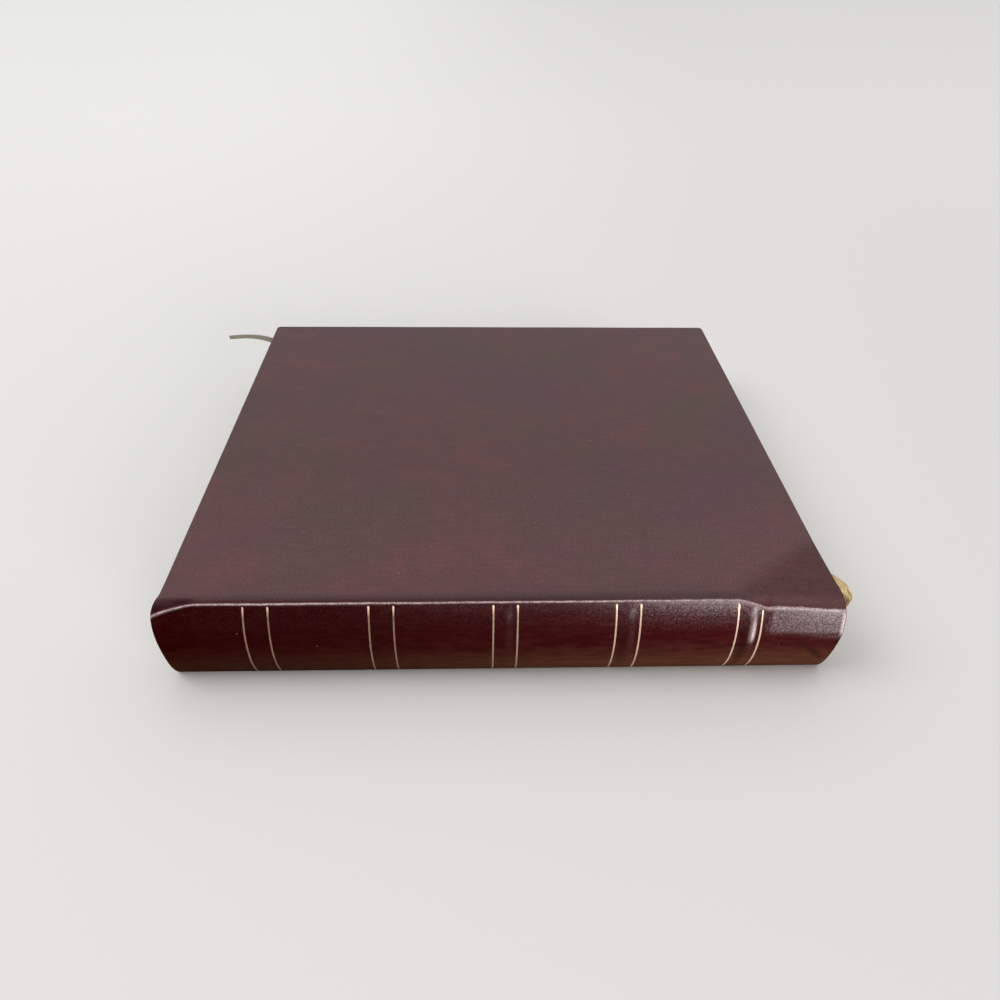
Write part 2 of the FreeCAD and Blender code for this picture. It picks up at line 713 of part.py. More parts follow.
# The ribbon is a flat strip on a smooth curve with the route's points as its poles. It leaves the
# spine on edge, leaning with the spine's curve, and lies flat once it has turned in.
def ribbon_marker():
    degree = 2
    poles = [FreeCAD.Vector(*point) for point in ribbon_route()]
    spans = len(poles) - degree
    curve = Part.BSplineCurve()
    curve.buildFromPolesMultsKnots(
        poles, [degree + 1] + [1] * (spans - 1) + [degree + 1], list(range(spans + 1)), False, degree)
    half_width = size["ribbon_width"].number / 2
    half_thickness = size["ribbon_thickness"].number / 2
    on_edge = FreeCAD.Vector(0, poles[0].z - half_height.number, spine_axis_y.number - poles[0].y)
    on_edge.normalize()

    def section(at):
        place = curve.length(0, at)
        centre = curve.value(at)
        ahead = curve.tangent(at)[0]
        progress = (place - TWIST_START) / (TWIST_END - TWIST_START)
        progress = min(max(progress, 0.0), 1.0)
        turn = progress * progress * (3 - 2 * progress)
        flat = FreeCAD.Vector(ahead.y, -ahead.x, 0).normalize()
        across = on_edge * (1 - turn) + flat * turn
        across = (across - ahead * across.dot(ahead)).normalize()
        up = ahead.cross(across).normalize()
        corners = []
        for side, face in ((-1, -1), (1, -1), (1, 1), (-1, 1)):
            corners.append(centre + across * (side * half_width) + up * (face * half_thickness))
        return Part.makePolygon(corners + corners[:1])

    length = curve.length()
    steps = range(spans * STATIONS_PER_RUN + 1)
    solid = Part.makeLoft([section(step / STATIONS_PER_RUN) for step in steps], True, True)
    if solid.Volume < 0:
        solid.reverse()
    strip = doc.addObject("Part::Feature", "ribbon_marker")
    strip.Shape = solid
    strip.Label = "ribbon_marker"
    expected = length * size["ribbon_width"].number * size["ribbon_thickness"].number
    print(f"ribbon: {length:.1f} mm long, volume {strip.Shape.Volume / expected:.3f} of its section's")
    return strip


# ---- The whole album ----

pieces = cover("upper") + cover("lower")
pieces += [page_block(), flyleaf_sheet("upper"), flyleaf_sheet("lower"), mull_lining()]
pieces += [headband("head_band", 1), headband("tail_band", -1), spine_hollow(), spine_inlay()]
pieces += [raised_band(index) for index in range(int(size["band_count"].number))]
pieces += [spine_leather()]
pieces += [gilt_rule(index) for index in range(2 * int(size["band_count"].number))]
pieces += [ribbon_marker()]
doc.recompute()

faults = [thing.Label for thing in doc.Objects
          if "Invalid" in thing.State or "Error" in thing.State]
if faults:
    raise RuntimeError(f"these failed: {faults}")
for piece in pieces:
    if piece.Shape.isNull() or not piece.Shape.isValid() or piece.Shape.Volume <= 0:
        raise RuntimeError(f"{piece.Label}: no valid solid")

os.makedirs("parts", exist_ok=True)
for piece in pieces:
    piece.Shape.exportStep(f"parts/{piece.Label}.step")
    print(f"{piece.Label}: {len(piece.Shape.Solids)} solid, {piece.Shape.Volume:.0f} mm3")
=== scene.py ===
import bpy
import bmesh
import math
import numpy as np
from mathutils import Matrix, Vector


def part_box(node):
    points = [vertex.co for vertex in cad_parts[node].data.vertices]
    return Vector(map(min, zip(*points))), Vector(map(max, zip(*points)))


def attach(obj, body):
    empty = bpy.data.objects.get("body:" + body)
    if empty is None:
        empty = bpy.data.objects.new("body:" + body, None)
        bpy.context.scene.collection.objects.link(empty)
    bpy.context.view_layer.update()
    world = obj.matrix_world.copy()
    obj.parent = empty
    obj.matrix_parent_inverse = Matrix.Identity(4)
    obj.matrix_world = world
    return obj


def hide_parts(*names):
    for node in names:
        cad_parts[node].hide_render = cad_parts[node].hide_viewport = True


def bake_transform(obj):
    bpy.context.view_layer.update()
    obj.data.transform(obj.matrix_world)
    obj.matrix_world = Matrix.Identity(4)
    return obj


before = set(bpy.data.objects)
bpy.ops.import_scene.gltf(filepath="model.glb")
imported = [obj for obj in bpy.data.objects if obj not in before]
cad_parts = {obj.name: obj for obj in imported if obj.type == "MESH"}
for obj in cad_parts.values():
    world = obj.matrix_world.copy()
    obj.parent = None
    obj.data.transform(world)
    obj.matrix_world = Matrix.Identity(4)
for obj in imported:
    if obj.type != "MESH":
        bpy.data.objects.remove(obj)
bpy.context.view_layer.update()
mm = 0.001
print("stage: frame loaded")


# A node's low and high corner in millimetres.
def cornersOf(node):
    return [np.array(corner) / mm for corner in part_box(node)]


# Places read from the solids, in millimetres. The album lies on its lower cover, spine to -Y.
coverLow, coverHigh = cornersOf("upper_cover_leather")
leavesLow, leavesHigh = cornersOf("page_block")
albumHeight = coverHigh[2]
halfHeight = albumHeight / 2
halfLength = coverHigh[0]
foreEdge = coverHigh[1]
coverInside = coverLow[2]            # height of the upper cover's inner face
foldGap = 1.65                       # from the cover's solid back to the fold
foldY = coverLow[1] - foldGap        # where the rounded spine meets the cover's face
spineBulge = 7.2                     # how far the spine stands out behind the folds
spineRadius = (halfHeight ** 2 + spineBulge ** 2) / (2 * spineBulge)
axisY = foldY + spineRadius - spineBulge


# A value that runs smoothly from 0 at low to 1 at high, whichever is the larger: 3t^2 - 2t^3.
def smooth(value, low, high):
    t = np.clip((value - low) / (high - low), 0.0, 1.0)
    return t * t * (3 - 2 * t)


# A gentle random surface: a sum of sine waves of chosen lengths in random directions and phases.
def waves(x, y, lengths, seed):
    dice = np.random.default_rng(seed)
    total = np.zeros(np.broadcast(x, y).shape)
    for length in lengths:
        turn, phase = dice.uniform(0, 2 * math.pi, 2)
        pull = 2 * math.pi / length
        total = total + np.sin(pull * (x * math.cos(turn) + y * math.sin(turn)) + phase)
    return total / len(lengths)


# Points from an x, a radius round the spine's axis and an angle above the level line, in radians.
def onArc(x, radius, angle):
    return np.stack(np.broadcast_arrays(x, axisY - radius * np.cos(angle),
                                        halfHeight + radius * np.sin(angle)), -1)


# The quads of a grid whose vertex (row, column) has the index row * columns + column.
def gridQuads(rows, columns, closeRows=False, closeColumns=False):
    row = np.arange(rows if closeRows else rows - 1)[:, None]
    column = np.arange(columns if closeColumns else columns - 1)[None, :]
    nextRow, nextColumn = (row + 1) % rows, (column + 1) % columns
    quads = np.stack(np.broadcast_arrays(
        row * columns + column, row * columns + nextColumn,
        nextRow * columns + nextColumn, nextRow * columns + column), axis=-1)
    return quads.reshape(-1, 4)


# A mesh object from points in millimetres and lists of corners, with doubles merged. Point
# attributes are arrays of one value a point. A closed shell is turned to face outwards.
def makePiece(name, points, faces, material, attributes=None, merge=0.004, closed=False):
    mesh = bpy.data.meshes.new(name)
    corners = [face for group in faces for face in np.asarray(group).tolist()]
    mesh.from_pydata((points.reshape(-1, 3) * mm).tolist(), [], corners)
    for key, values in (attributes or {}).items():
        layer = mesh.attributes.new(key, "FLOAT", "POINT")
        layer.data.foreach_set("value", np.ascontiguousarray(values, dtype=np.float32).ravel())
    work = bmesh.new()
    work.from_mesh(mesh)
    bmesh.ops.remove_doubles(work, verts=work.verts, dist=merge * mm)
    bmesh.ops.dissolve_degenerate(work, dist=1e-7, edges=work.edges)
    if closed:
        bmesh.ops.recalc_face_normals(work, faces=work.faces)
    work.to_mesh(mesh)
    work.free()
    mesh.polygons.foreach_set("use_smooth", np.ones(len(mesh.polygons), dtype=bool))
    mesh.materials.append(material)
    piece = bpy.data.objects.new(name, mesh)
    bpy.context.scene.collection.objects.link(piece)
    return piece


# Gives a sheet its thickness inwards, keeping the face that was drawn.
def thicken(piece, thickness):
    wall = piece.modifiers.new("thickness", "SOLIDIFY")
    wall.thickness = thickness * mm
    wall.offset = -1


# Fills a node's inputs: a socket is linked, and any other value is set.
def fill(tree, node, inputs):
    for key, value in inputs.items():
        if isinstance(value, bpy.types.NodeSocket):
            tree.links.new(value, node.inputs[key])
        else:
            node.inputs[key].default_value = value
    return node


# A node with its settings, and its inputs filled.
def addNode(tree, kind, inputs=None, **settings):
    node = tree.nodes.new(kind)
    for key, value in settings.items():
        setattr(node, key, value)
    return fill(tree, node, inputs or {})


# One number worked out from two.
def mathNode(tree, operation, first, second=0.0, clamp=False):
    return addNode(tree, "ShaderNodeMath", {0: first, 1: second}, operation=operation,
                   use_clamp=clamp).outputs[0]


# A number that runs smoothly from lowOut to highOut while the value runs from low to high.
def ramp(tree, value, low, high, lowOut=0.0, highOut=1.0):
    return addNode(tree, "ShaderNodeMapRange", {
        "Value": value, "From Min": low, "From Max": high, "To Min": lowOut, "To Max": highOut},
        interpolation_type="SMOOTHSTEP").outputs["Result"]


# One number between two: first at 0, second at 1.
def mixNumber(tree, amount, first, second):
    return addNode(tree, "ShaderNodeMix", {0: amount, 2: first, 3: second}).outputs[0]


# The same for two colours, or another way of blending them.
def mixColour(tree, amount, first, second, blend="MIX"):
    return addNode(tree, "ShaderNodeMix", {0: amount, 6: first, 7: second},
                   data_type="RGBA", blend_type=blend).outputs[2]


# A colour made lighter or darker by a factor.
def timesColour(tree, colour, factor):
    return mixColour(tree, 1.0, colour, factor, "MULTIPLY")


# The place on the piece, in metres, stretched along each axis.
def objectPlace(tree, stretch=(1.0, 1.0, 1.0)):
    coordinates = tree.nodes.new("ShaderNodeTexCoord")
    return addNode(tree, "ShaderNodeMapping", {
        "Vector": coordinates.outputs["Object"], "Scale": stretch}).outputs["Vector"]


# A vector as its three numbers.
def axes(tree, vector):
    return addNode(tree, "ShaderNodeSeparateXYZ", {"Vector": vector}).outputs


# The value that each point of a mesh carries under a name.
def pointValue(tree, name):
    return addNode(tree, "ShaderNodeAttribute", attribute_name=name).outputs["Fac"]


# Cloudy noise over a vector: its coarsest detail is 1 / scale in size.
def noise(tree, vector, scale, detail, roughness=0.5, distortion=0.0):
    return addNode(tree, "ShaderNodeTexNoise", {
        "Vector": vector, "Scale": scale, "Detail": detail, "Roughness": roughness,
        "Distortion": distortion}).outputs["Fac"]


# A surface that seems raised by height times distance, in metres, on top of another one.
def bump(tree, height, distance, under=None):
    inputs = {"Height": height, "Distance": distance, "Strength": 1.0}
    if under is not None:
        inputs["Normal"] = under
    return addNode(tree, "ShaderNodeBump", inputs).outputs["Normal"]


# A node group with a vector input, number inputs with their usual values, and number outputs.
def newGroup(name, numbers, outputs):
    group = bpy.data.node_groups.new(name, "ShaderNodeTree")
    group.interface.new_socket(name="Vector", in_out="INPUT", socket_type="NodeSocketVector")
    for label, usual in numbers.items():
        socket = group.interface.new_socket(name=label, in_out="INPUT",
                                            socket_type="NodeSocketFloat")
        socket.default_value = usual
    for label in outputs:
        group.interface.new_socket(name=label, in_out="OUTPUT", socket_type="NodeSocketFloat")
    source = group.nodes.new("NodeGroupInput")
    return group, source.outputs, group.nodes.new("NodeGroupOutput")


# The outputs of a node group that is put to use in a tree.
def useGroup(tree, group, inputs):
    return addNode(tree, "ShaderNodeGroup", inputs, node_tree=group).outputs


# A material with one Principled shader; fixed goes straight on its sockets.
def newMaterial(name, fixed):
    material = bpy.data.materials.new(name)
    material.use_nodes = True
    tree = material.node_tree
    return material, tree, fill(tree, tree.nodes["Principled BSDF"], fixed)


# Leather grain: rounded cells with a finer noise on them, and a pebbled noise for shine and wear.
grainGroup, source, result = newGroup("leatherGrain", {"Cells": 1500.0}, ["Height", "Pebble"])
cells = addNode(grainGroup, "ShaderNodeTexVoronoi", {
    "Vector": source["Vector"], "Scale": source["Cells"], "Randomness": 1.0}, feature="SMOOTH_F1")
fineScale = mathNode(grainGroup, "MULTIPLY", source["Cells"], 2.3)
fineCells = noise(grainGroup, source["Vector"], fineScale, 3.0, 0.6)
rounded = mathNode(grainGroup, "SUBTRACT", 1.0, cells.outputs["Distance"])
fineShare = mathNode(grainGroup, "MULTIPLY", fineCells, 0.7)
fill(grainGroup, result, {
    "Height": mathNode(grainGroup, "ADD", rounded, fineShare),
    "Pebble": noise(grainGroup, source["Vector"], source["Cells"], 2.0, 0.65)})

# Cloudy dye: large soft clouds, smaller ones, and thin streaks along X.
cloudGroup, source, result = newGroup("dyeClouds", {"Clouds": 16.0, "Streaks": 260.0},
                                      ["Cloud", "Patch", "Streak"])
patchScale = mathNode(cloudGroup, "MULTIPLY", source["Clouds"], 2.6)
drawn = addNode(cloudGroup, "ShaderNodeMapping", {
    "Vector": source["Vector"], "Scale": (0.24, 1.0, 1.0)}).outputs["Vector"]
fill(cloudGroup, result, {
    "Cloud": noise(cloudGroup, source["Vector"], source["Clouds"], 2.0, 0.45),
    "Patch": noise(cloudGroup, source["Vector"], patchScale, 4.0, 0.55, 0.4),
    "Streak": noise(cloudGroup, drawn, source["Streaks"], 5.0, 0.6)})

# Paper or card fibre: a soft cloudiness, and short twisted fibres.
fibreGroup, source, result = newGroup("paperFibre", {"Fibres": 900.0}, ["Tone", "Height"])
fill(fibreGroup, result, {
    "Tone": noise(fibreGroup, source["Vector"], 60.0, 5.0, 0.6),
    "Height": noise(fibreGroup, source["Vector"], source["Fibres"], 4.0, 0.7, 1.5)})

# Glazed maroon hide. The spine kept its deep colour and the covers have dulled; low on the spine a
# painted reflection turns it brown.
hideFinish = {
    "coverColour": (0.078, 0.0275, 0.0285, 1.0),
    "coverRed": (0.094, 0.0280, 0.0300, 1.0),
    "coverBrown": (0.066, 0.0310, 0.0260, 1.0),
    "coverViolet": (0.074, 0.0250, 0.0340, 1.0),
    # painted light: the covers' colour is made lighter by the spine by this factor
    "paintedLightNearSpine": 1.22,       # the covers are this much lighter by the spine
    "spineTail": (0.024, 0.0010, 0.0014, 1.0),
    "spineHead": (0.055, 0.0050, 0.0075, 1.0),
    # painted reflection low on the spine, at the tail and at the head
    "reflectionTail": (0.036, 0.0095, 0.0045, 1.0),
    "reflectionHead": (0.110, 0.0420, 0.0220, 1.0),
    # pale: for the light specks of wear, and for the painted highlights
    "wearAndHighlightColour": (0.80, 0.65, 0.64, 1.0),
    # painted shade in the crease and in the bands' hollows
    "creaseShadeColour": (0.030, 0.008, 0.006, 1.0),
    # painted shade behind the fold
    "foldShadeColour": (0.030, 0.006, 0.009, 1.0),
    "clouds": 15.0,
    "streaks": 420.0,
    "specks": 95.0,
    "grainCells": 1250.0,
    "grainDepth": 0.00011,
    "softDepth": 0.00022,
}
hideMaterial, tree, shader = newMaterial("glazedHide", {
    "Specular IOR Level": 0.0, "Coat Roughness": 0.27, "Coat IOR": 1.5, "Roughness": 0.6})
place = objectPlace(tree)
clouds = useGroup(tree, cloudGroup, {
    "Vector": place, "Clouds": hideFinish["clouds"], "Streaks": hideFinish["streaks"]})
grain = useGroup(tree, grainGroup, {"Vector": place, "Cells": hideFinish["grainCells"]})
alongX, alongY, alongZ = axes(tree, place)
redness = ramp(tree, clouds["Patch"], 0.45, 0.66)
brownness = ramp(tree, clouds["Cloud"], 0.42, 0.64, 0.0, 0.8)
violet = ramp(tree, noise(tree, objectPlace(tree, (11.0, 17.0, 11.0)), 1.0, 2.0),
              0.52, 0.70, 0.0, 0.8)
coverColour = mixColour(tree, redness, hideFinish["coverColour"], hideFinish["coverRed"])
coverColour = mixColour(tree, brownness, coverColour, hideFinish["coverBrown"])
coverColour = mixColour(tree, violet, coverColour, hideFinish["coverViolet"])
# painted light: the covers made lighter towards the spine
coverColour = timesColour(tree, coverColour,
                          ramp(tree, alongY, -0.02, -0.13, 1.0, hideFinish["paintedLightNearSpine"]))
# painted shade in the strip behind the fold and on the fold's tail bevel
coverColour = mixColour(tree, pointValue(tree, "foldShade"), coverColour, hideFinish["foldShadeColour"])
towardsHead = ramp(tree, alongX, -0.15, 0.17)
# the share of painted reflection: more low down, streaked a little
reflectionShare = mathNode(tree, "ADD", ramp(tree, alongZ, 0.030, 0.006),
                    ramp(tree, clouds["Streak"], 0.3, 0.7, -0.14, 0.14), clamp=True)
spineColour = mixColour(
    tree, reflectionShare,
    mixColour(tree, towardsHead, hideFinish["spineTail"], hideFinish["spineHead"]),
    mixColour(tree, towardsHead, hideFinish["reflectionTail"], hideFinish["reflectionHead"]))
# painted shade along the slanting crease and in the bands' hollows
creaseShadeShare = mathNode(tree, "MULTIPLY", pointValue(tree, "creaseShade"), 0.75)
spineColour = mixColour(tree, creaseShadeShare, spineColour, hideFinish["creaseShadeColour"])
hideColour = mixColour(tree, pointValue(tree, "spineShare"), coverColour, spineColour)
hideColour = timesColour(tree, hideColour, ramp(tree, clouds["Streak"], 0.32, 0.70, 0.91, 1.08))
# painted shade on the cover's bent corner
hideColour = timesColour(tree, hideColour,
                         ramp(tree, pointValue(tree, "cornerShade"), 0.0, 1.0, 1.0, 0.80))
specks = addNode(tree, "ShaderNodeTexVoronoi", {
    "Vector": place, "Scale": hideFinish["specks"], "Randomness": 1.0})
speckMask = ramp(tree, specks.outputs["Distance"], 0.045, 0.02, 0.0, 0.16)
hideColour = mixColour(tree, speckMask, hideColour, hideFinish["wearAndHighlightColour"])
# painted highlights: the line along the fold, partly also rubbed, the head end's edge and the last
# band's crest; and a painted sheen on the grain's tops beside the fold
rubbed = mathNode(tree, "MULTIPLY", pointValue(tree, "highlightLines"),
                  ramp(tree, grain["Pebble"], 0.30, 0.58, 0.45, 1.15), clamp=True)
grainSheenShare = mathNode(tree, "MULTIPLY", pointValue(tree, "grainSheen"),
                       ramp(tree, grain["Pebble"], 0.42, 0.74))
rubbed = mathNode(tree, "MAXIMUM", rubbed, grainSheenShare, clamp=True)
softHeight = noise(tree, place, 140.0, 3.0)
fill(tree, shader, {
    "Base Color": mixColour(tree, rubbed, hideColour, hideFinish["wearAndHighlightColour"]),
    "Coat Weight": mathNode(tree, "MULTIPLY", pointValue(tree, "glaze"),
                            ramp(tree, grain["Pebble"], 0.34, 0.66, 0.50, 1.30), clamp=True),
    "Normal": bump(tree, grain["Height"], hideFinish["grainDepth"],
                   bump(tree, softHeight, hideFinish["softDepth"]))})

# Gold leaf pressed into the hide, rubbed a little thin, with painted light: darker towards the
# tail and paler at the rules' top ends.
giltFinish = {"leaf": (0.95, 0.70, 0.52, 1.0), "rubbed": (0.42, 0.22, 0.13, 1.0),
              "shadedLeaf": (0.20, 0.115, 0.070, 1.0)}
giltMaterial, tree, shader = newMaterial("goldLeaf", {"Specular IOR Level": 0.5})
rub = noise(tree, objectPlace(tree), 420.0, 4.0, 0.7)
leafColour = mixColour(tree, ramp(tree, rub, 0.60, 0.78), giltFinish["leaf"],
                       giltFinish["rubbed"])
fill(tree, shader, {
    "Base Color": mixColour(tree, pointValue(tree, "giltLight"), giltFinish["shadedLeaf"], leafColour),
    "Metallic": ramp(tree, rub, 0.4, 0.8, 0.85, 0.45),
    "Roughness": ramp(tree, rub, 0.3, 0.8, 0.34, 0.55),
    "Normal": bump(tree, rub, 0.00004)})

# Cut card: cream, each leaf a little different, with fibres along the cut, and painted shade in
# the gaps between the leaves.
cardFinish = {"pale": (0.80, 0.75, 0.64, 1.0), "dark": (0.62, 0.55, 0.42, 1.0),
              "gapShade": (0.42, 0.36, 0.27, 1.0)}
cardMaterial, tree, shader = newMaterial("leafCard", {
    "Roughness": 0.85, "Specular IOR Level": 0.25})
fibres = useGroup(tree, fibreGroup, {
    "Vector": objectPlace(tree, (1.0, 1.0, 6.0)), "Fibres": 500.0})
cardColour = mixColour(tree, pointValue(tree, "leafTone"), cardFinish["pale"], cardFinish["dark"])
cardColour = mixColour(tree, ramp(tree, fibres["Tone"], 0.35, 0.75, 0.0, 0.35), cardColour,
                       cardFinish["dark"])
fill(tree, shader, {
    "Base Color": mixColour(tree, pointValue(tree, "gapShadeShare"), cardColour, cardFinish["gapShade"]),
    "Normal": bump(tree, fibres["Height"], 0.00008)})


# A sheet of paper, pale with darker fibre. Its margin is tanned where a colour for that is given.
def paperMaterial(name, finish):
    material, tree, shader = newMaterial(name, {"Roughness": 0.8, "Specular IOR Level": 0.3})
    fibres = useGroup(tree, fibreGroup, {
        "Vector": objectPlace(tree), "Fibres": finish["fibres"]})
    speckle = ramp(tree, fibres["Height"], 0.62, 0.75, 0.0, 0.6)
    darkness = mathNode(tree, "ADD", ramp(tree, fibres["Tone"], 0.3, 0.75), speckle, clamp=True)
    colour = mixColour(tree, darkness, finish["pale"], finish["dark"])
    if "tanned" in finish:
        margin = mathNode(tree, "MULTIPLY", pointValue(tree, "margin"),
                          ramp(tree, fibres["Tone"], 0.3, 0.7, 0.25, 0.70))
        colour = mixColour(tree, margin, colour, finish["tanned"])
    fill(tree, shader, {"Base Color": colour,
                        "Normal": bump(tree, fibres["Height"], finish["depth"])})
    return material


endpaperMaterial = paperMaterial("endpaper", {
    "pale": (0.76, 0.70, 0.58, 1), "dark": (0.68, 0.60, 0.47, 1), "tanned": (0.55, 0.43, 0.28, 1),
    "fibres": 1200, "depth": 0.00003})
kraftMaterial = paperMaterial("kraftPaper", {
    "pale": (0.40, 0.25, 0.13, 1), "dark": (0.30, 0.18, 0.09, 1), "fibres": 700,
    "depth": 0.00005})


# Woven thread: two sets of threads crossing at a pitch, over a vector that findPlace gives, with
# slubs drawn out by a stretch. It is darkened with painted shade where the mesh says so.
def wovenMaterial(name, finish, findPlace, fixed):
    material, tree, shader = newMaterial(name, fixed)
    place = findPlace(tree)
    across, along, _ = axes(tree, place)
    pull = 2 * math.pi / finish["pitch"]
    warp = mathNode(tree, "SINE", mathNode(tree, "MULTIPLY", across, pull))
    weft = mathNode(tree, "SINE", mathNode(tree, "MULTIPLY", along, pull))
    weave = mathNode(tree, "MULTIPLY", warp, weft)
    drawn = addNode(tree, "ShaderNodeMapping", {"Vector": place, "Scale": finish["stretch"]})
    slub = noise(tree, drawn.outputs["Vector"], 0.8 / finish["pitch"], 3.0, 0.6)
    tone = mathNode(tree, "ADD", ramp(tree, weave, -1.0, 1.0, 0.0, 0.30),
                    ramp(tree, slub, 0.42, 0.57, 0.0, 0.70))
    colour = mixColour(tree, tone, finish["dark"], finish["pale"])
    fill(tree, shader, {
        # painted shade, where the mesh gives it
        "Base Color": mixColour(tree, pointValue(tree, "paintedShade"), colour,
                                (0.130, 0.105, 0.080, 1)),
        "Normal": bump(tree, weave, finish["depth"])})
    return material


# The mull hangs in the X-Z plane, so its threads follow those two.
def mullPlace(tree):
    alongX, _, alongZ = axes(tree, objectPlace(tree))
    return addNode(tree, "ShaderNodeCombineXYZ", {"X": alongX, "Y": alongZ}).outputs["Vector"]


# The ribbon's own place: metres along it and across it.
def ribbonPlace(tree):
    return addNode(tree, "ShaderNodeUVMap", uv_map="ribbonPlace").outputs["UV"]


mullMaterial = wovenMaterial("mullCloth", {
    "pale": (0.66, 0.62, 0.52, 1), "dark": (0.42, 0.38, 0.30, 1), "pitch": 0.0009,
    "stretch": (1.0, 1.0, 1.0), "depth": 0.0001},
    mullPlace, {"Roughness": 0.9, "Specular IOR Level": 0.2})
ribbonMaterial = wovenMaterial("satinRibbon", {
    "pale": (0.98, 0.78, 0.38, 1), "dark": (0.21, 0.11, 0.03, 1), "pitch": 0.00042,
    "stretch": (0.10, 1.0, 1.0), "depth": 0.00004},
    ribbonPlace, {"Roughness": 0.38, "Specular IOR Level": 0.5, "Sheen Weight": 0.25,
                  "Sheen Roughness": 0.4, "Anisotropic": 0.4})

# Silk over a core, in turns of two colours.
silkFinish = {"gold": (0.62, 0.44, 0.20, 1.0), "maroon": (0.16, 0.020, 0.026, 1.0)}
silkMaterial, tree, shader = newMaterial("headbandSilk", {
    "Roughness": 0.45, "Sheen Weight": 0.3, "Sheen Roughness": 0.4})
silkNoise = noise(tree, objectPlace(tree), 2500.0, 2.0)
silkColour = mixColour(tree, pointValue(tree, "threadTurn"), silkFinish["gold"],
                       silkFinish["maroon"])
fill(tree, shader, {
    "Base Color": timesColour(tree, silkColour, ramp(tree, silkNoise, 0.3, 0.7, 0.8, 1.15)),
    "Normal": bump(tree, silkNoise, 0.00004)})
print("stage: materials made")


hideSizes = {
    "thickness": 0.85,
    "joinY": -139.0,         # where the spine's grid meets the cover's rings
    "edgeRound": 0.9,        # rounding over the covers' edges
    "cornerRadius": 3.0,
    "coverTurnIn": 18.0,
    "spineTurnIn": 12.0,
    "capRadius": 40.6,       # inner face of the hide folded in at head and tail
    "capAngle": 26.0,        # degrees to each side that it reaches there
    "lowerSeam": -31.6,      # degrees: where the two hides meet, under the lower fold
    "foldRound": 1.0,
    "foldUneven": 0.25,
    "innerBelow": 1.9,       # the inner line stays this far below the outer face, at least
    "rim": 20.0,             # in from the fore-edge, the rings keep their spacing this far
    "foreReach": 150.0,      # and the last of them is this far in
    "arcRows": 72,
    "foldRows": 9,
    "topRows": 12,
    "halfStations": 136,
    "stationDensity": 0.65,  # stations for a millimetre, before they are spread
    "ruleDensity": 2.5,      # and how many more at a gilt rule, falling off over its reach
    "ruleReach": 1.3,
    "sidePoints": 40,
    "cornerPoints": 8,
    "forePoints": 56,
}
# The bands, tail to head: how far each shows through the hide, how much its head side shines, and
# how dark the painted shade in the hollow on its tail side is.
bandMiddles = [-118.2, -58.7, 0.8, 60.3, 119.8]
bandSizes = {"heights": [0.55, 0.65, 0.95, 1.15, 1.5], "reach": 4.4,
             "nip": 0.14, "nipPlace": 4.9, "nipReach": 1.3,
             "shines": [0.0, 0.08, 0.35, 0.6, 1.0], "hollowShades": [0.0, 0.1, 0.3, 0.6, 0.9]}
ruleOffset = 5.9
ruleMiddles = [middle + side * ruleOffset for middle in bandMiddles for side in (-1, 1)]
ruleSizes = {"width": 0.82, "groove": 0.11, "grooveReach": 0.62, "over": 0.035,
             "fromAngle": -31.0, "belowRidge": 1.9, "rows": 90, "thickness": 0.06,
             "roundRows": 1.6, "fuller": 0.25, "fullerRows": 3.0, "uneven": 0.10,
             "drift": 0.06, "mostShaded": 0.12}
degreeLength = 0.76          # millimetres along the spine's arc in one degree

# How the hide has given way. Each drop of the ridge at the head is a depth and the x it runs from
# and to; each flare is how far an end stands out, the y it starts at, its run and its power.
slumpSizes = {
    "headDrops": [(2.4, 112.0, 127.0), (3.2, 122.5, 132.0), (1.6, 136.0, 165.5)],
    "tailDrop": 5.2, "tailFrom": 146.0, "tailRun": 19.0,
    "evenDrop": 0.14, "uneven": 0.10,
    "reach": 5.0, "tailReach": 1.5, "headReach": 46.0, "headFrom": 113.0, "headRun": 52.0,
    "cornerShare": 0.38, "jointReach": 8.0,
    "headFlare": (3.3, -100.0, 49.0, 1.8), "tailFlare": (2.5, -137.0, 12.0, 1.6),
    "flareFrom": 146.0,
    "faceHollow": 0.10,
}
pressSizes = {"from": 124.5, "to": 133.0, "fromAngle": 8.0, "overAngle": 17.0, "depth": 1.9,
              "tilt": 0.7, "creaseX": 154.0, "creaseAngle": -7.0, "creaseDepth": 0.5}
reliefSizes = {"uneven": 0.07, "fine": 0.025, "bandsFadeFrom": 19.0, "bandsFadeTo": 32.5}


# How far the ridge of the upper fold has slumped at x: at both ends, most at the head.
def ridgeDrop(x):
    head = sum(drop * smooth(x, start, end) for drop, start, end in slumpSizes["headDrops"])
    share = np.clip((-x - slumpSizes["tailFrom"]) / slumpSizes["tailRun"], 0, 1)
    uneven = slumpSizes["uneven"] * waves(x, 0 * x, [23.0, 41.0, 13.0, 8.0], 5)
    return head + slumpSizes["tailDrop"] * share ** 1.7 + slumpSizes["evenDrop"] + uneven


# How far behind the ridge the face has begun to fall. At the head the corner is bent down from a
# slanting line, which runs from the ridge back along the edge.
def slumpReach(x):
    share = np.clip((x - slumpSizes["headFrom"]) / slumpSizes["headRun"], 0, 1)
    return (slumpSizes["reach"] + slumpSizes["headReach"] * share
            + slumpSizes["tailReach"] * smooth(-x, 140.0, 162.0))


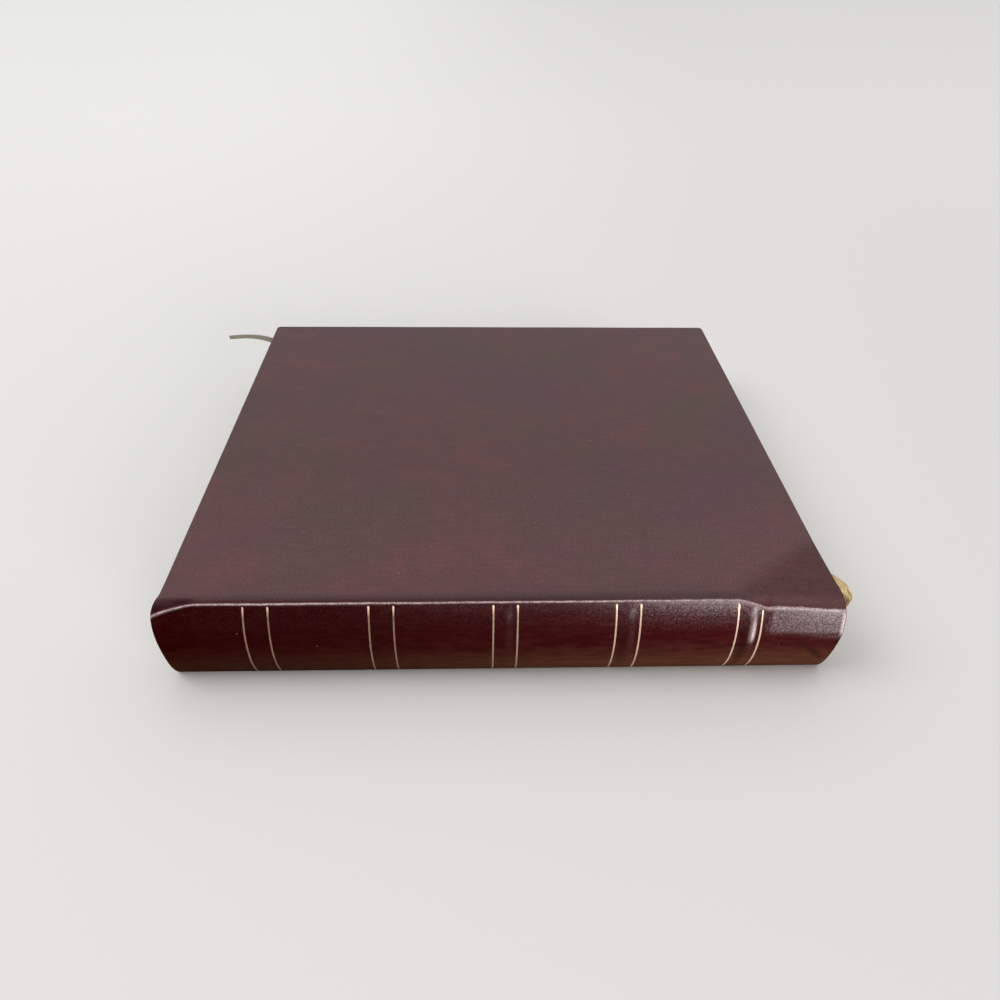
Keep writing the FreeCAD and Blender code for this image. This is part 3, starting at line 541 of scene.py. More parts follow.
# The height of the upper cover's face: level, falling to the slumped ridge by (1 - t)^2, at the
# head partly over the whole bent corner and partly over the joint alone.
def faceHeight(x, y, ridgeY):
    t = np.clip((y - ridgeY) / slumpReach(x), 0, 1)
    near = np.clip((y - ridgeY) / slumpSizes["jointReach"], 0, 1)
    corner = slumpSizes["cornerShare"]
    fall = np.where(x > 0, corner * (1 - t) ** 2 + (1 - corner) * (1 - near) ** 2, (1 - t) ** 2)
    hollow = np.abs(slumpSizes["faceHollow"] * waves(x, y, [83.0, 131.0, 61.0], 61))
    return albumHeight - ridgeDrop(x) * fall - hollow * smooth(y, -140.0, -90.0)


# The ridge at x: its angle on the spine's arc, and its y and z.
def ridgePlace(x, upper):
    z = albumHeight - ridgeDrop(x) if upper else albumHeight - 0.1 + 0 * x
    plain = np.degrees(np.arcsin((z - halfHeight) / spineRadius))
    radius = spineRadius + (spineRelief(x, plain) if upper else 0)
    angle = np.arcsin((z - halfHeight) / radius)
    return angle, axisY - radius * np.cos(angle), z


# How far the two ends of the upper fold flare out past the covers' ends: from where the edge
# starts to bend, by a power of the way to the ridge, and fading down the spine.
def endFlare(x, y, angle):
    head, tail = [most * np.clip((start - y) / run, 0, 1) ** power
                  for most, start, run, power in (slumpSizes["headFlare"],
                                                  slumpSizes["tailFlare"])]
    reach = smooth(np.abs(x), slumpSizes["flareFrom"], halfLength)
    return np.where(x > 0, head, -tail) * reach * smooth(angle, -16.0, 25.0)


# The slanting crease at the head end of the spine: 1 along its line, falling off to both sides.
def foldLine(x, angle, width, reach):
    along = x - pressSizes["creaseX"]
    rise = (angle - pressSizes["creaseAngle"]) * degreeLength
    across = along * 0.70 + rise * 0.71
    beside = along * 0.71 - rise * 0.70
    return np.exp(-(across / width) ** 2) * np.exp(-(beside / reach) ** 4)


# How far the hide stands out from the plain arc: the raised bands, the nip beside them, the
# tooled grooves, a slight unevenness, and the pressed-in head end with its crease.
def spineRelief(x, angle):
    relief = reliefSizes["uneven"] * waves(x, angle * 0.8, [31.0, 47.0, 19.0, 26.0], 9)
    relief = relief + reliefSizes["fine"] * waves(x, angle * 0.8, [7.0, 9.5, 5.5, 12.0], 11)
    fade = 1 - smooth(np.abs(angle), reliefSizes["bandsFadeFrom"], reliefSizes["bandsFadeTo"])
    for middle, height in zip(bandMiddles, bandSizes["heights"]):
        off = np.abs(x - middle)
        share = np.clip(off / bandSizes["reach"], 0, 1)
        nip = np.exp(-((off - bandSizes["nipPlace"]) / bandSizes["nipReach"]) ** 2)
        relief = relief + height * fade * np.cos(share * math.pi / 2) ** 2
        relief = relief - bandSizes["nip"] * fade * nip
    for middle in ruleMiddles:
        groove = np.exp(-((x - middle) / ruleSizes["grooveReach"]) ** 2)
        relief = relief - ruleSizes["groove"] * groove
    # pressed in above a softened step, and tilted
    t = np.clip((angle - pressSizes["fromAngle"]) / pressSizes["overAngle"], 0, 1)
    soften = (0.25 * np.log1p(np.exp((t - 0.03) * 40.0)) / 10.0).clip(0, 1)
    depth = pressSizes["depth"] * (1 - (1 - soften) ** 2) + pressSizes["tilt"] * t
    relief = relief - smooth(x, pressSizes["from"], pressSizes["to"]) * depth
    return relief - pressSizes["creaseDepth"] * foldLine(x, angle, 1.5, 9.0)


# The hide's section over the spine and the fold at each x: rows of points from startAngle on the
# arc up to the ridge, round it on a quadratic Bezier, and along the cover's face to joinY. The
# arc is y = axis - r cos(angle), z = middle + r sin(angle). It also gives the inner line that the
# turned-in edge follows, and each row's own angle.
def foldSection(x, startAngle, upper=True):
    ridgeAngle, ridgeY, _ = ridgePlace(x, upper)
    turn = hideSizes["foldRound"] + 0 * x
    if upper:
        turn = turn * (1 + hideSizes["foldUneven"] * waves(x, 0 * x, [17.0, 29.0, 11.0], 21))
    t = np.linspace(0, 1, hideSizes["arcRows"])[:, None]
    angle = math.radians(startAngle) * (1 - t) + (ridgeAngle - turn / spineRadius) * t
    radius = spineRadius + spineRelief(x[None, :], np.degrees(angle)) * (1 if upper else 0)
    arcY = axisY - radius * np.cos(angle)
    arcZ = halfHeight + radius * np.sin(angle)

    def face(y):             # the height of the cover's face at this x
        return faceHeight(x[None, :], y, ridgeY) if upper else albumHeight + 0 * y

    endY = ridgeY + turn
    t = np.linspace(0, 1, hideSizes["foldRows"] + 1)[1:, None]
    foldY = (1 - t) ** 2 * arcY[-1] + 2 * t * (1 - t) * ridgeY + t ** 2 * endY
    foldZ = ((1 - t) ** 2 * arcZ[-1] + 2 * t * (1 - t) * face(ridgeY[None, :])
             + t ** 2 * face(endY[None, :]))
    t = np.linspace(0, 1, hideSizes["topRows"] + 1)[1:, None] ** 1.25
    topY = endY + (hideSizes["joinY"] - endY) * t
    y = np.vstack([arcY, foldY, topY])
    z = np.vstack([arcZ, foldZ, face(topY)])
    # the inner line: along the folded-in edge, then up to the cover's inner face
    capAngle = math.radians(hideSizes["capAngle"])
    inAngle = angle * capAngle / math.asin(halfHeight / spineRadius)
    innerY = axisY - hideSizes["capRadius"] * np.cos(inAngle)
    innerZ = halfHeight + hideSizes["capRadius"] * np.sin(inAngle)
    steps = hideSizes["foldRows"] + hideSizes["topRows"]
    t = np.linspace(0, 1, steps + 1)[1:, None]
    risen = innerZ[-1] + (coverInside - innerZ[-1]) * smooth(t, 0.0, 0.34)
    innerY = np.vstack([innerY, innerY[-1] + (hideSizes["joinY"] - innerY[-1]) * t])
    innerZ = np.vstack([innerZ, np.minimum(risen, z[-steps:] - hideSizes["innerBelow"])])
    rowAngle = np.vstack([np.degrees(angle), np.full((steps, x.size), 90.0)])
    return y, z, innerY, innerZ, rowAngle, ridgeY


# The hide's path over one end, from the outer face round the edge and in: how far in from the
# end, in millimetres for the rounding and as a share of the turn-in beyond it, and how deep, as
# a share of the way from the outer face to the inner line.
def endPath():
    quarter = np.linspace(0, math.pi / 2, 6)
    roundIn = hideSizes["edgeRound"] * (1 - np.sin(quarter))
    roundDeep = 0.2 * (1 - np.cos(quarter))
    inset = np.concatenate([roundIn, [0.0, 0.0], roundIn[::-1]])
    deep = np.concatenate([roundDeep, [0.4, 0.6], 1 - roundDeep[::-1]])
    turned = np.concatenate([np.zeros(inset.size), [0.25, 0.5, 0.75, 1.0]])
    inset = np.concatenate([inset, np.full(4, hideSizes["edgeRound"])])
    deep = np.concatenate([deep, np.full(4, 1.0)])
    return inset, deep, turned


# Stations along the spine: as many on each side of the middle, closer together at each gilt rule.
# They are found by equal shares of a density with a bell curve on it at each rule.
def spineStations():
    fine = np.linspace(0.0, halfLength - hideSizes["edgeRound"], 6000)
    sides = []
    for side in (-1, 1):
        bells = [np.exp(-((side * fine - middle) / hideSizes["ruleReach"]) ** 2)
                 for middle in ruleMiddles]
        density = hideSizes["stationDensity"] + sum(
            hideSizes["ruleDensity"] * bell for bell in bells)
        total = np.cumsum(density)
        total = (total - total[0]) / (total[-1] - total[0])
        sides.append(side * np.interp(np.linspace(0, 1, hideSizes["halfStations"]), total, fine))
    return np.concatenate([sides[0][::-1], sides[1][1:]]), hideSizes["halfStations"] - 1


stations, middleStation = spineStations()
pathIn, pathDeep, pathTurned = endPath()

# How much the hide's glaze shines, how far it is rubbed or carries painted highlights, and how
# much painted shade it has, as shares of the most. In the dictionaries below, a pair says where
# something begins and where it is complete: a Run is along x, an Out along y, a Rise in degrees up
# the spine's arc, an In behind the ridge, and a Deep is a share of the way from the outer face to
# the inner line.
shineWearAndShadeSizes = {"coverGlaze": 0.9, "lowerGlaze": 0.3, "arcGlaze": 0.85, "bandGlaze": 0.95,
             "turnInDulled": 0.7, "cornerGlazeShaded": 0.45, "bevelGlazeShaded": 0.75,
             "ridgeHighlight": 0.66, "ridgeUneven": 0.34, "endHighlight": 0.85, "crestHighlight": 1.25,
             "foldShaded": 0.68}
panelSizes = {"startRun": (124.5, 130.0), "sinkRun": (128.0, 164.0), "edge": 9.5, "sinks": 4.5,
              "soft": 5.0, "sharpens": 2.5}


# Each band's own share, spread along x by a bell curve beside the band.
def besideBands(x, offset, width, shares):
    bell = np.exp(-((x[..., None] - np.array(bandMiddles) - offset) / width) ** 2)
    return (bell * np.array(shares)).sum(-1)


# 1 on the pressed-in panel at the spine's head, above a soft edge that sinks towards the head.
def pressedPanel(x, angle):
    towardsHead = smooth(x, *panelSizes["sinkRun"])
    edge = panelSizes["edge"] - panelSizes["sinks"] * towardsHead
    soft = panelSizes["soft"] - panelSizes["sharpens"] * towardsHead
    return smooth(x, *panelSizes["startRun"]) * smooth(angle, edge - soft, edge + soft)


shineSizes = {"panel": 0.52, "panelHead": 0.30, "panelRun": (132.0, 162.0),
              "panelLow": 0.84, "panelTop": 0.30, "panelRise": (12.0, 23.0),
              "bandOffset": 1.9, "bandWidth": 1.5, "bandRise": (-12.0, 12.0),
              "fold": 0.08, "foldMiddle": 0.12, "middleRun": (-80.0, 20.0),
              "foldHead": 0.78, "headRun": (20.0, 110.0),
              "arcLeast": 0.04, "arcRise": (11.0, 32.0), "behindFrom": 0.5, "behindTo": 4.0}


# The shine over the spine's grid: on the panel, on the bands' head sides, and up the arc to the
# fold, more towards the head. The largest of the three holds, and behind the ridge the cover's.
def spineGlaze(x, y, angle, ridgeY):
    size = shineSizes
    towardsHead = size["panel"] + size["panelHead"] * smooth(x, *size["panelRun"])
    upwards = size["panelLow"] + size["panelTop"] * smooth(angle, *size["panelRise"])
    panel = pressedPanel(x, angle) * towardsHead * upwards
    bands = besideBands(x, size["bandOffset"], size["bandWidth"], bandSizes["shines"])
    bands = bands * smooth(angle, *size["bandRise"])
    alongFold = (size["fold"] + size["foldMiddle"] * smooth(x, *size["middleRun"])
                 + size["foldHead"] * smooth(x, *size["headRun"]))
    arc = size["arcLeast"] + shineWearAndShadeSizes["arcGlaze"] * smooth(angle, *size["arcRise"]) * alongFold
    arc = np.maximum(arc, np.maximum(panel, shineWearAndShadeSizes["bandGlaze"] * bands))
    behind = smooth(y, ridgeY + size["behindFrom"], ridgeY + size["behindTo"])
    return arc * (1 - behind) + shineWearAndShadeSizes["coverGlaze"] * behind


highlightLineSizes = {"broadRun": (20.0, 105.0), "ridgeIn": 0.1, "ridgeWidth": 0.34, "thinner": 0.25,
            "below": 0.55, "belowFrom": 0.25, "belowWidth": 1.3, "belowIn": 0.6,
            "ridgeDeep": (0.5, 0.1), "ridgeRise": (0.0, 6.0),
            "endFrom": 0.8, "endWidth": 0.5, "endDeep": (0.25, 0.1), "endRise": (5.0, 11.0),
            "crestOffset": 1.9, "crestWidth": 1.0, "crestRise": (1.0, 9.0),
            "crestUpper": 0.35, "crestFade": (24.0, 13.0), "crestEnd": (31.0, 25.0)}


# Painted highlight lines, each a bell curve across its line: the ridge, partly also rubbed,
# broader below towards the head; the edge at the spine's head end; and the crest of the last band.
# The strongest one holds.
def paintedHighlightLines(x, y, z, angle, deep, ridgeY, ridgeZ):
    size = highlightLineSizes
    broad = smooth(x, *size["broadRun"])
    line = np.exp(-((y - ridgeY - size["ridgeIn"]) / size["ridgeWidth"]) ** 2)
    below = np.clip(ridgeZ + size["belowFrom"] - z, 0.0, None)
    under = size["below"] * broad * np.exp(-(below / size["belowWidth"]) ** 2)
    ridge = np.maximum(line * (1 - size["thinner"] * broad),
                       under * (y < ridgeY + size["belowIn"]))
    ridge = ridge * smooth(deep, *size["ridgeDeep"]) * smooth(angle, *size["ridgeRise"])
    uneven = waves(x, 0 * x, [29.0, 13.0, 47.0, 8.0], 71)
    ridge = ridge * (shineWearAndShadeSizes["ridgeHighlight"] + shineWearAndShadeSizes["ridgeUneven"] * uneven)
    edgeX = halfLength + endFlare(halfLength, y, angle)
    end = np.exp(-((x - edgeX + size["endFrom"]) / size["endWidth"]) ** 2)
    end = end * smooth(deep, *size["endDeep"]) * smooth(angle, *size["endRise"]) * (angle < 60)
    crest = np.exp(-((x - bandMiddles[4] - size["crestOffset"]) / size["crestWidth"]) ** 2)
    fade = size["crestUpper"] + (1 - size["crestUpper"]) * smooth(angle, *size["crestFade"])
    crest = crest * smooth(angle, *size["crestRise"]) * fade * smooth(angle, *size["crestEnd"])
    return np.maximum(ridge, np.maximum(shineWearAndShadeSizes["endHighlight"] * end,
                                        shineWearAndShadeSizes["crestHighlight"] * crest))


grainSheenSizes = {"rise": (7.0, 33.0), "behindFrom": 1.5, "behindTo": 0.3,
                 "least": 0.01, "middle": 0.01, "middleRun": (-80.0, 20.0),
                 "head": 0.13, "headRun": (20.0, 105.0), "panel": 0.03,
                 "panelTail": 0.10, "panelTailRun": (148.0, 132.0),
                 "panelHead": 0.14, "panelHeadRun": (140.0, 166.0)}


# A painted sheen on the grain's tops: under the fold, more towards the head, and on the panel.
def paintedGrainSheen(x, y, angle, ridgeY):
    size = grainSheenSizes
    paintedHighlight = smooth(angle, *size["rise"]) * smooth(y, ridgeY + size["behindFrom"],
                                                 ridgeY + size["behindTo"])
    paintedHighlight = paintedHighlight * (size["least"] + size["middle"] * smooth(x, *size["middleRun"])
                   + size["head"] * smooth(x, *size["headRun"]))
    panel = (size["panel"] + size["panelTail"] * smooth(x, *size["panelTailRun"])
             + size["panelHead"] * smooth(x, *size["panelHeadRun"]))
    return np.clip(np.maximum(paintedHighlight, panel * pressedPanel(x, angle) * (angle < 60)), 0, 1)


shadeSizes = {"cornerX": 112.0, "cornerY": -143.4, "cornerSlope": 0.78,
              "cornerSoft": (9.0, -7.0), "cornerRun": (108.0, 122.0),
              "cornerOut": (-90.0, -112.0), "cornerIn": (2.0, 8.0),
              "bevelRun": (-144.0, -152.0), "bevelOut": (-141.0, -144.5),
              "bevelIn": (0.6, 1.4), "bevelShare": 0.5,
              "stripNearIn": (0.8, 1.8), "stripFarIn": (8.5, 2.5), "stripRun": (128.0, 112.0),
              "hollowOffset": -2.4, "hollowWidth": 1.6, "hollowTopRise": (27.0, 20.0),
              "hollowFootRise": (-24.0, -8.0), "creaseWidth": 1.7, "creaseReach": 11.0}


# Painted shade over the upper hide, at every point: the bent corner of the cover, beyond a
# slanting line; the bevel at the fold's tail end; the strip behind the fold; and the crease and
# the bands' hollows on the spine.
def hideShades(x, y, angle):
    size = shadeSizes
    beyond = y - ridgePlace(x, True)[1]
    slant = (y - size["cornerY"]) - (x - size["cornerX"]) * size["cornerSlope"]
    corner = smooth(slant, *size["cornerSoft"]) * smooth(x, *size["cornerRun"])
    corner = corner * smooth(y, *size["cornerOut"]) * smooth(beyond, *size["cornerIn"])
    bevel = smooth(x, *size["bevelRun"]) * smooth(y, *size["bevelOut"])
    strip = smooth(beyond, *size["stripNearIn"]) * smooth(beyond, *size["stripFarIn"])
    strip = strip * smooth(x, *size["stripRun"])
    strip = strip + size["bevelShare"] * bevel * smooth(beyond, *size["bevelIn"])
    hollowShades = besideBands(x, size["hollowOffset"], size["hollowWidth"], bandSizes["hollowShades"])
    hollowShades = hollowShades * smooth(angle, *size["hollowTopRise"])
    crease = np.maximum(foldLine(x, angle, size["creaseWidth"], size["creaseReach"]),
                        hollowShades * smooth(angle, *size["hollowFootRise"]))
    return corner, bevel, strip, crease


# The hide's columns, in from the tail's folded edge, out over the spine, and in again at the
# head: the x of each, how deep it lies, how far it is turned in, and which end it is at.
def hideColumns():
    x = np.concatenate([-halfLength + pathIn[1:][::-1], stations, halfLength - pathIn[1:]])
    deep = np.concatenate([pathDeep[1:][::-1], 0 * stations, pathDeep[1:]])
    turned = np.concatenate([pathTurned[1:][::-1], 0 * stations, pathTurned[1:]])
    folded = pathIn.size - 1
    end = np.concatenate([np.full(folded, -1.0), 0 * stations, np.full(folded, 1.0)])
    return x, deep, turned, end


# The spine part: a grid over the section above, folded in at both ends. It gives the points and
# what the masks are worked out from.
def spineGrid(startAngle, upper):
    columns, deep, turned, end = hideColumns()
    y, z, innerY, innerZ, rowAngle, ridgeY = foldSection(columns, startAngle, upper)
    spineness = 1 - smooth(y, ridgeY - 2.0, hideSizes["joinY"])
    turnIn = hideSizes["spineTurnIn"] * spineness + hideSizes["coverTurnIn"] * (1 - spineness)
    gridX = columns - end * turned * (turnIn - hideSizes["edgeRound"])
    if upper:
        gridX = gridX + endFlare(gridX, y, rowAngle)
    points = np.stack([gridX, y + (innerY - y) * deep, z + (innerZ - z) * deep], -1)
    return points, y, z, rowAngle, ridgeY


# The cover part: the same row of stations carried round the cover's three free edges, as rings
# from the turned-in edge out over the rim to the middle of the face.
def coverRings(upper):
    columns, deep, turned, _ = hideColumns()
    half = pathIn.size - 1 + middleStation
    coverTurn = hideSizes["coverTurnIn"] - hideSizes["edgeRound"]
    ringTail = columns[:half + 1] + halfLength + turned[:half + 1] * coverTurn
    ringHead = halfLength - columns[half:][::-1] + turned[half:][::-1] * coverTurn
    ringFore = (ringTail + ringHead) / 2
    rim = hideSizes["rim"]
    stretch = (hideSizes["foreReach"] - rim) / (halfLength - rim)
    ringFore = np.where(ringFore > rim, rim + (ringFore - rim) * stretch, ringFore)
    sides = np.linspace(0, 1, hideSizes["sidePoints"])
    bend = np.linspace(0, math.pi / 2, hideSizes["cornerPoints"])[1:-1]
    fore = np.linspace(0, 1, hideSizes["forePoints"])
    least = np.minimum(np.minimum(ringTail, ringHead), ringFore)
    radius = np.clip(hideSizes["cornerRadius"] - least, 0.0, None)[:, None]
    left = (-halfLength + ringTail)[:, None]
    right = (halfLength - ringHead)[:, None]
    front = (foreEdge - ringFore)[:, None]
    start = hideSizes["joinY"]
    parts = [
        (left + 0 * sides, start + (front - radius - start) * sides),
        (left + radius * (1 - np.cos(bend)), front - radius * (1 - np.sin(bend))),
        (left + radius + (right - left - 2 * radius) * fore, front + 0 * fore),
        (right - radius * (1 - np.sin(bend)), front - radius * (1 - np.cos(bend))),
        (right + 0 * sides, start + (front - radius - start) * sides[::-1]),
    ]
    ringX, ringY = [np.hstack(part) for part in zip(*parts)]
    faceZ = albumHeight + 0 * ringX
    if upper:
        faceZ = faceHeight(ringX, ringY, ridgePlace(ringX, True)[1])
        ringX = ringX + endFlare(ringX, ringY, 90.0)
    ringDeep = deep[:half + 1, None]
    ringZ = faceZ + (coverInside - faceZ) * ringDeep
    return np.stack([ringX, ringY, ringZ], -1), ringDeep


# What the material reads: one value a point, and none of the wear, painted highlights or painted
# shade on the lower cover.
def hideMasks(spinePoints, y, z, rowAngle, ridgeY, coverPoints, ringDeep, upper):
    def joined(spine, cover):    # the spine's values, then the cover's
        return np.concatenate([spine.ravel(), (cover + 0 * coverPoints[..., 0]).ravel()])

    columns, deep, _, _ = hideColumns()
    gridX = spinePoints[..., 0]
    glaze = shineWearAndShadeSizes["lowerGlaze"] + 0 * gridX
    paintedHighlight = grainSheen = np.zeros(gridX.shape)
    corner = bevel = strip = crease = 0
    if upper:
        glaze = spineGlaze(gridX, y, rowAngle, ridgeY)
        paintedHighlight = paintedHighlightLines(gridX, y, z, rowAngle, deep, ridgeY, ridgePlace(columns, True)[2])
        grainSheen = paintedGrainSheen(gridX, y, rowAngle, ridgeY)
        corner, bevel, strip, crease = hideShades(
            joined(gridX, coverPoints[..., 0]), joined(spinePoints[..., 1], coverPoints[..., 1]),
            joined(rowAngle, 90.0))
    dulled = shineWearAndShadeSizes["turnInDulled"] * smooth(deep, 0.4, 1.0)
    ringDulled = shineWearAndShadeSizes["turnInDulled"] * smooth(ringDeep, 0.4, 1.0)
    glaze = joined(glaze * (1 - dulled), shineWearAndShadeSizes["coverGlaze"] * (1 - ringDulled))
    # the glaze is cut over the bent corner, and over the tail bevel below, as painted shade
    glaze = glaze * (1 - shineWearAndShadeSizes["cornerGlazeShaded"] * corner)
    return {
        "spineShare": joined(1 - smooth(y, ridgeY - 0.4, ridgeY + 2.2), 0),
        "glaze": glaze * (1 - shineWearAndShadeSizes["bevelGlazeShaded"] * bevel),
        "highlightLines": joined(paintedHighlight, 0),
        "grainSheen": joined(grainSheen, 0),
        "cornerShade": corner + 0 * glaze,
        "foldShade": shineWearAndShadeSizes["foldShaded"] * strip + 0 * glaze,
        "creaseShade": crease + 0 * glaze,
    }


# One cover's hide with the spine's on it, or only the fold's. It is drawn as the upper cover's;
# the lower one is the same turned over, z = height - z. Its seam is open below, at startAngle.
def coverHide(name, startAngle, upper):
    spinePoints, *section = spineGrid(startAngle, upper)
    coverPoints, ringDeep = coverRings(upper)
    masks = hideMasks(spinePoints, *section, coverPoints, ringDeep, upper)
    spineQuads = gridQuads(*spinePoints.shape[:2])
    coverQuads = gridQuads(*coverPoints.shape[:2])[:, ::-1] + spinePoints[..., 0].size
    points = np.concatenate([spinePoints.reshape(-1, 3), coverPoints.reshape(-1, 3)])
    if not upper:
        points[:, 2] = albumHeight - points[:, 2]
        spineQuads, coverQuads = spineQuads[:, ::-1], coverQuads[:, ::-1]
    piece = makePiece(name, points, [spineQuads, coverQuads], hideMaterial, masks)
    thicken(piece, hideSizes["thickness"])
    return piece


upperHide = coverHide("upperHide", hideSizes["lowerSeam"], True)
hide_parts("upper_cover_leather", "upper_board", "upper_infill", "spine_leather",
            "spine_inlay", "raised_band_1", "raised_band_2", "raised_band_3", "raised_band_4",
            "raised_band_5")
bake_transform(upperHide)
lowerHide = coverHide("lowerHide", -hideSizes["lowerSeam"], False)
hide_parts("lower_cover_leather", "lower_board", "lower_infill")
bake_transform(lowerHide)
print("stage: hides made", len(upperHide.data.polygons), len(lowerHide.data.polygons))


# The gilt rules: thin strips on the hide's own surface, each from the lower fold up to the ridge,
# with a rounded, slightly fuller end at the top.
def giltRules():
    rows = ruleSizes["rows"]
    across = np.array([[-0.5, -0.42, 0.0, 0.42, 0.5]])
    share = np.linspace(0, 1, rows)[:, None]
    fromTop = (1 - share) * rows
    short = 1 - np.clip(fromTop / ruleSizes["roundRows"], 0, 1)
    endRound = np.sqrt(np.clip(1 - short ** 2, 0.04, 1))
    fuller = 1 + ruleSizes["fuller"] * np.exp(-(fromTop / ruleSizes["fullerRows"]) ** 2)
    sets, quads, giltLightShares = [], [], []
    for index, middle in enumerate(ruleMiddles):
        top = np.degrees(ridgePlace(middle + 0 * across, True)[0]) - ruleSizes["belowRidge"]
        angle = ruleSizes["fromAngle"] * (1 - share) + top * share
        rise = angle * degreeLength
        ripple = waves(rise, 0 * rise + index * 7.0, [5.0, 3.1, 8.0], 31 + index)
        uneven = 1 + ruleSizes["uneven"] * ripple
        drift = ruleSizes["drift"] * waves(rise, 0 * rise, [22.0, 37.0], 51 + index)
        x = middle + across * (ruleSizes["width"] * endRound * fuller * uneven) + drift
        lift = ruleSizes["over"] * (1 - (2 * across) ** 6)
        radius = spineRadius + spineRelief(x, angle) + lift
        sets.append(onArc(x, radius, np.radians(angle)).reshape(-1, 3))
        quads.append(gridQuads(rows, across.size) + index * rows * across.size)
        # painted light: paler at the top ends, darker towards the tail
        ends = smooth(angle, 22.0, 31.0) + 0 * x
        least = ruleSizes["mostShaded"]
        giltLightShares.append((least + (1 - least) * smooth(x, -60.0, 128.0)).clip(ends, 1.0).ravel())
    piece = makePiece("giltRules", np.concatenate(sets), quads, giltMaterial,
                      {"giltLight": np.concatenate(giltLightShares)})
    thicken(piece, ruleSizes["thickness"])
    return piece


giltRulesPiece = giltRules()
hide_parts(*[f"gilt_rule_{index}" for index in range(1, 11)])
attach(giltRulesPiece, "text_block")


leafSizes = {
    "count": 30,
    "guard": 0.4,            # between two leaves
    "guardIn": 1.2,          # how far the guard stays inside their edges
    "backRadius": 39.0,
    "shift": 0.22,           # how far a leaf has slipped along X at most
    "shiftShare": 0.6,       # and the share of it along Y
    "ripple": 0.10,          # how far its edge is from straight
    "mostSide": 0.16, "mostFront": 0.12,   # neither goes out further than this
    "inset": [0.18, 0.03, 0.03, 0.18],     # the leaf's edge, bottom to top, inside its outline
    "level": [0.0, 0.2, 0.8, 1.0],         # and the shares of its thickness that those are at
    "endPoints": 46,
    "sidePoints": 40,
}


# The leaves as one closed stack: an in-and-out profile, out round each leaf's edge and in to the
# guard, carried round the outline. The back of a leaf at height z stands at
# axis - sqrt(r^2 - rise^2), and the fore-edge a leaf's width in front of it.
def leafStack():
    dice = np.random.default_rng(3)
    count, guard, guardIn = leafSizes["count"], leafSizes["guard"], leafSizes["guardIn"]
    low, high = leavesLow[2], leavesHigh[2]
    leaf = (high - low - (count - 1) * guard) / count
    bottoms = low + np.arange(count) * (leaf + guard)
    rise = np.maximum(np.abs(bottoms - halfHeight), np.abs(bottoms + leaf - halfHeight))
    backs = axisY - np.sqrt(leafSizes["backRadius"] ** 2 - rise ** 2)
    width = leavesHigh[1] - backs.max()
    inset = np.array([guardIn, *leafSizes["inset"], guardIn])
    level = np.array([0.0, *leafSizes["level"], 1.0]) * leaf

    def eachLeaf(values):    # one value a leaf, repeated for each point of its profile
        return np.repeat(values, inset.size)[:, None]

    ringIn = np.tile(inset, count)[:, None]
    ringZ = (bottoms[:, None] + level[None, :]).reshape(-1, 1)
    ends = np.linspace(0, 1, leafSizes["endPoints"])[:-1]
    sides = np.linspace(0, 1, leafSizes["sidePoints"])[:-1]
    halfX = leavesHigh[0] - ringIn
    back = eachLeaf(backs) + ringIn
    front = eachLeaf(backs) + width - ringIn
    x = np.hstack([-halfX + 0 * sides, -halfX + 2 * halfX * ends, halfX + 0 * sides,
                   halfX - 2 * halfX * ends])
    y = np.hstack([back + (front - back) * sides, front + 0 * ends,
                   front + (back - front) * sides, back + 0 * ends])
    # each leaf has slipped a little and its edge isn't quite straight, inside the outline
    shiftX = eachLeaf(dice.uniform(-1, 1, count)) * leafSizes["shift"]
    shiftY = eachLeaf(dice.uniform(-1, 1, count)) * leafSizes["shift"] * leafSizes["shiftShare"]
    number = eachLeaf(np.arange(count))
    ripple = leafSizes["ripple"] * waves(x + number * 17.0, y + number * 31.0,
                                         [61.0, 37.0, 90.0], 41)
    mostSide, mostFront = leafSizes["mostSide"], leafSizes["mostFront"]
    outwards = np.sign(x) * (np.abs(x) > halfX - 0.01)
    atFront = np.abs(y - front) < 0.01
    x = x + (np.clip(shiftX + ripple, None, mostSide) - mostSide) * outwards
    x = np.clip(x, -leavesHigh[0], leavesHigh[0])
    y = y + (np.clip(shiftY + ripple, None, mostFront) - mostFront) * atFront
    points = np.stack([x, y, ringZ + 0 * x], -1)
    rows, columns = x.shape
    quads = gridQuads(rows, columns, closeColumns=True)[:, ::-1]
    tone = eachLeaf(dice.uniform(0, 0.55, count)) + 0 * x
    # painted shade: full at the guards between the leaves, a little at the leaves' rounded edges
    depth = np.tile([1.0, 0.12, 0, 0, 0.12, 1.0], count)[:, None] + 0 * x
    bottom = np.arange(columns)
    caps = [bottom[None, :], bottom[None, ::-1] + (rows - 1) * columns]
    return makePiece("leafStack", points, [quads, *caps], cardMaterial,
                     {"leafTone": tone, "gapShadeShare": depth})


leaves = leafStack()
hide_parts("page_block")
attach(leaves, "text_block")


headbandSizes = {"core": 1.42, "thread": 0.14, "turns": 30, "rowsInTurn": 8, "around": 20,
                 "reach": 25.2, "out": 37.8, "along": 162.6,
                 "tapeReach": 25.0, "tapeRows": 40,
                 "tapeAlong": [151.2, 161.0, 161.0, 151.2],
                 "tapeOut": [39.38, 39.38, 39.12, 39.12]}


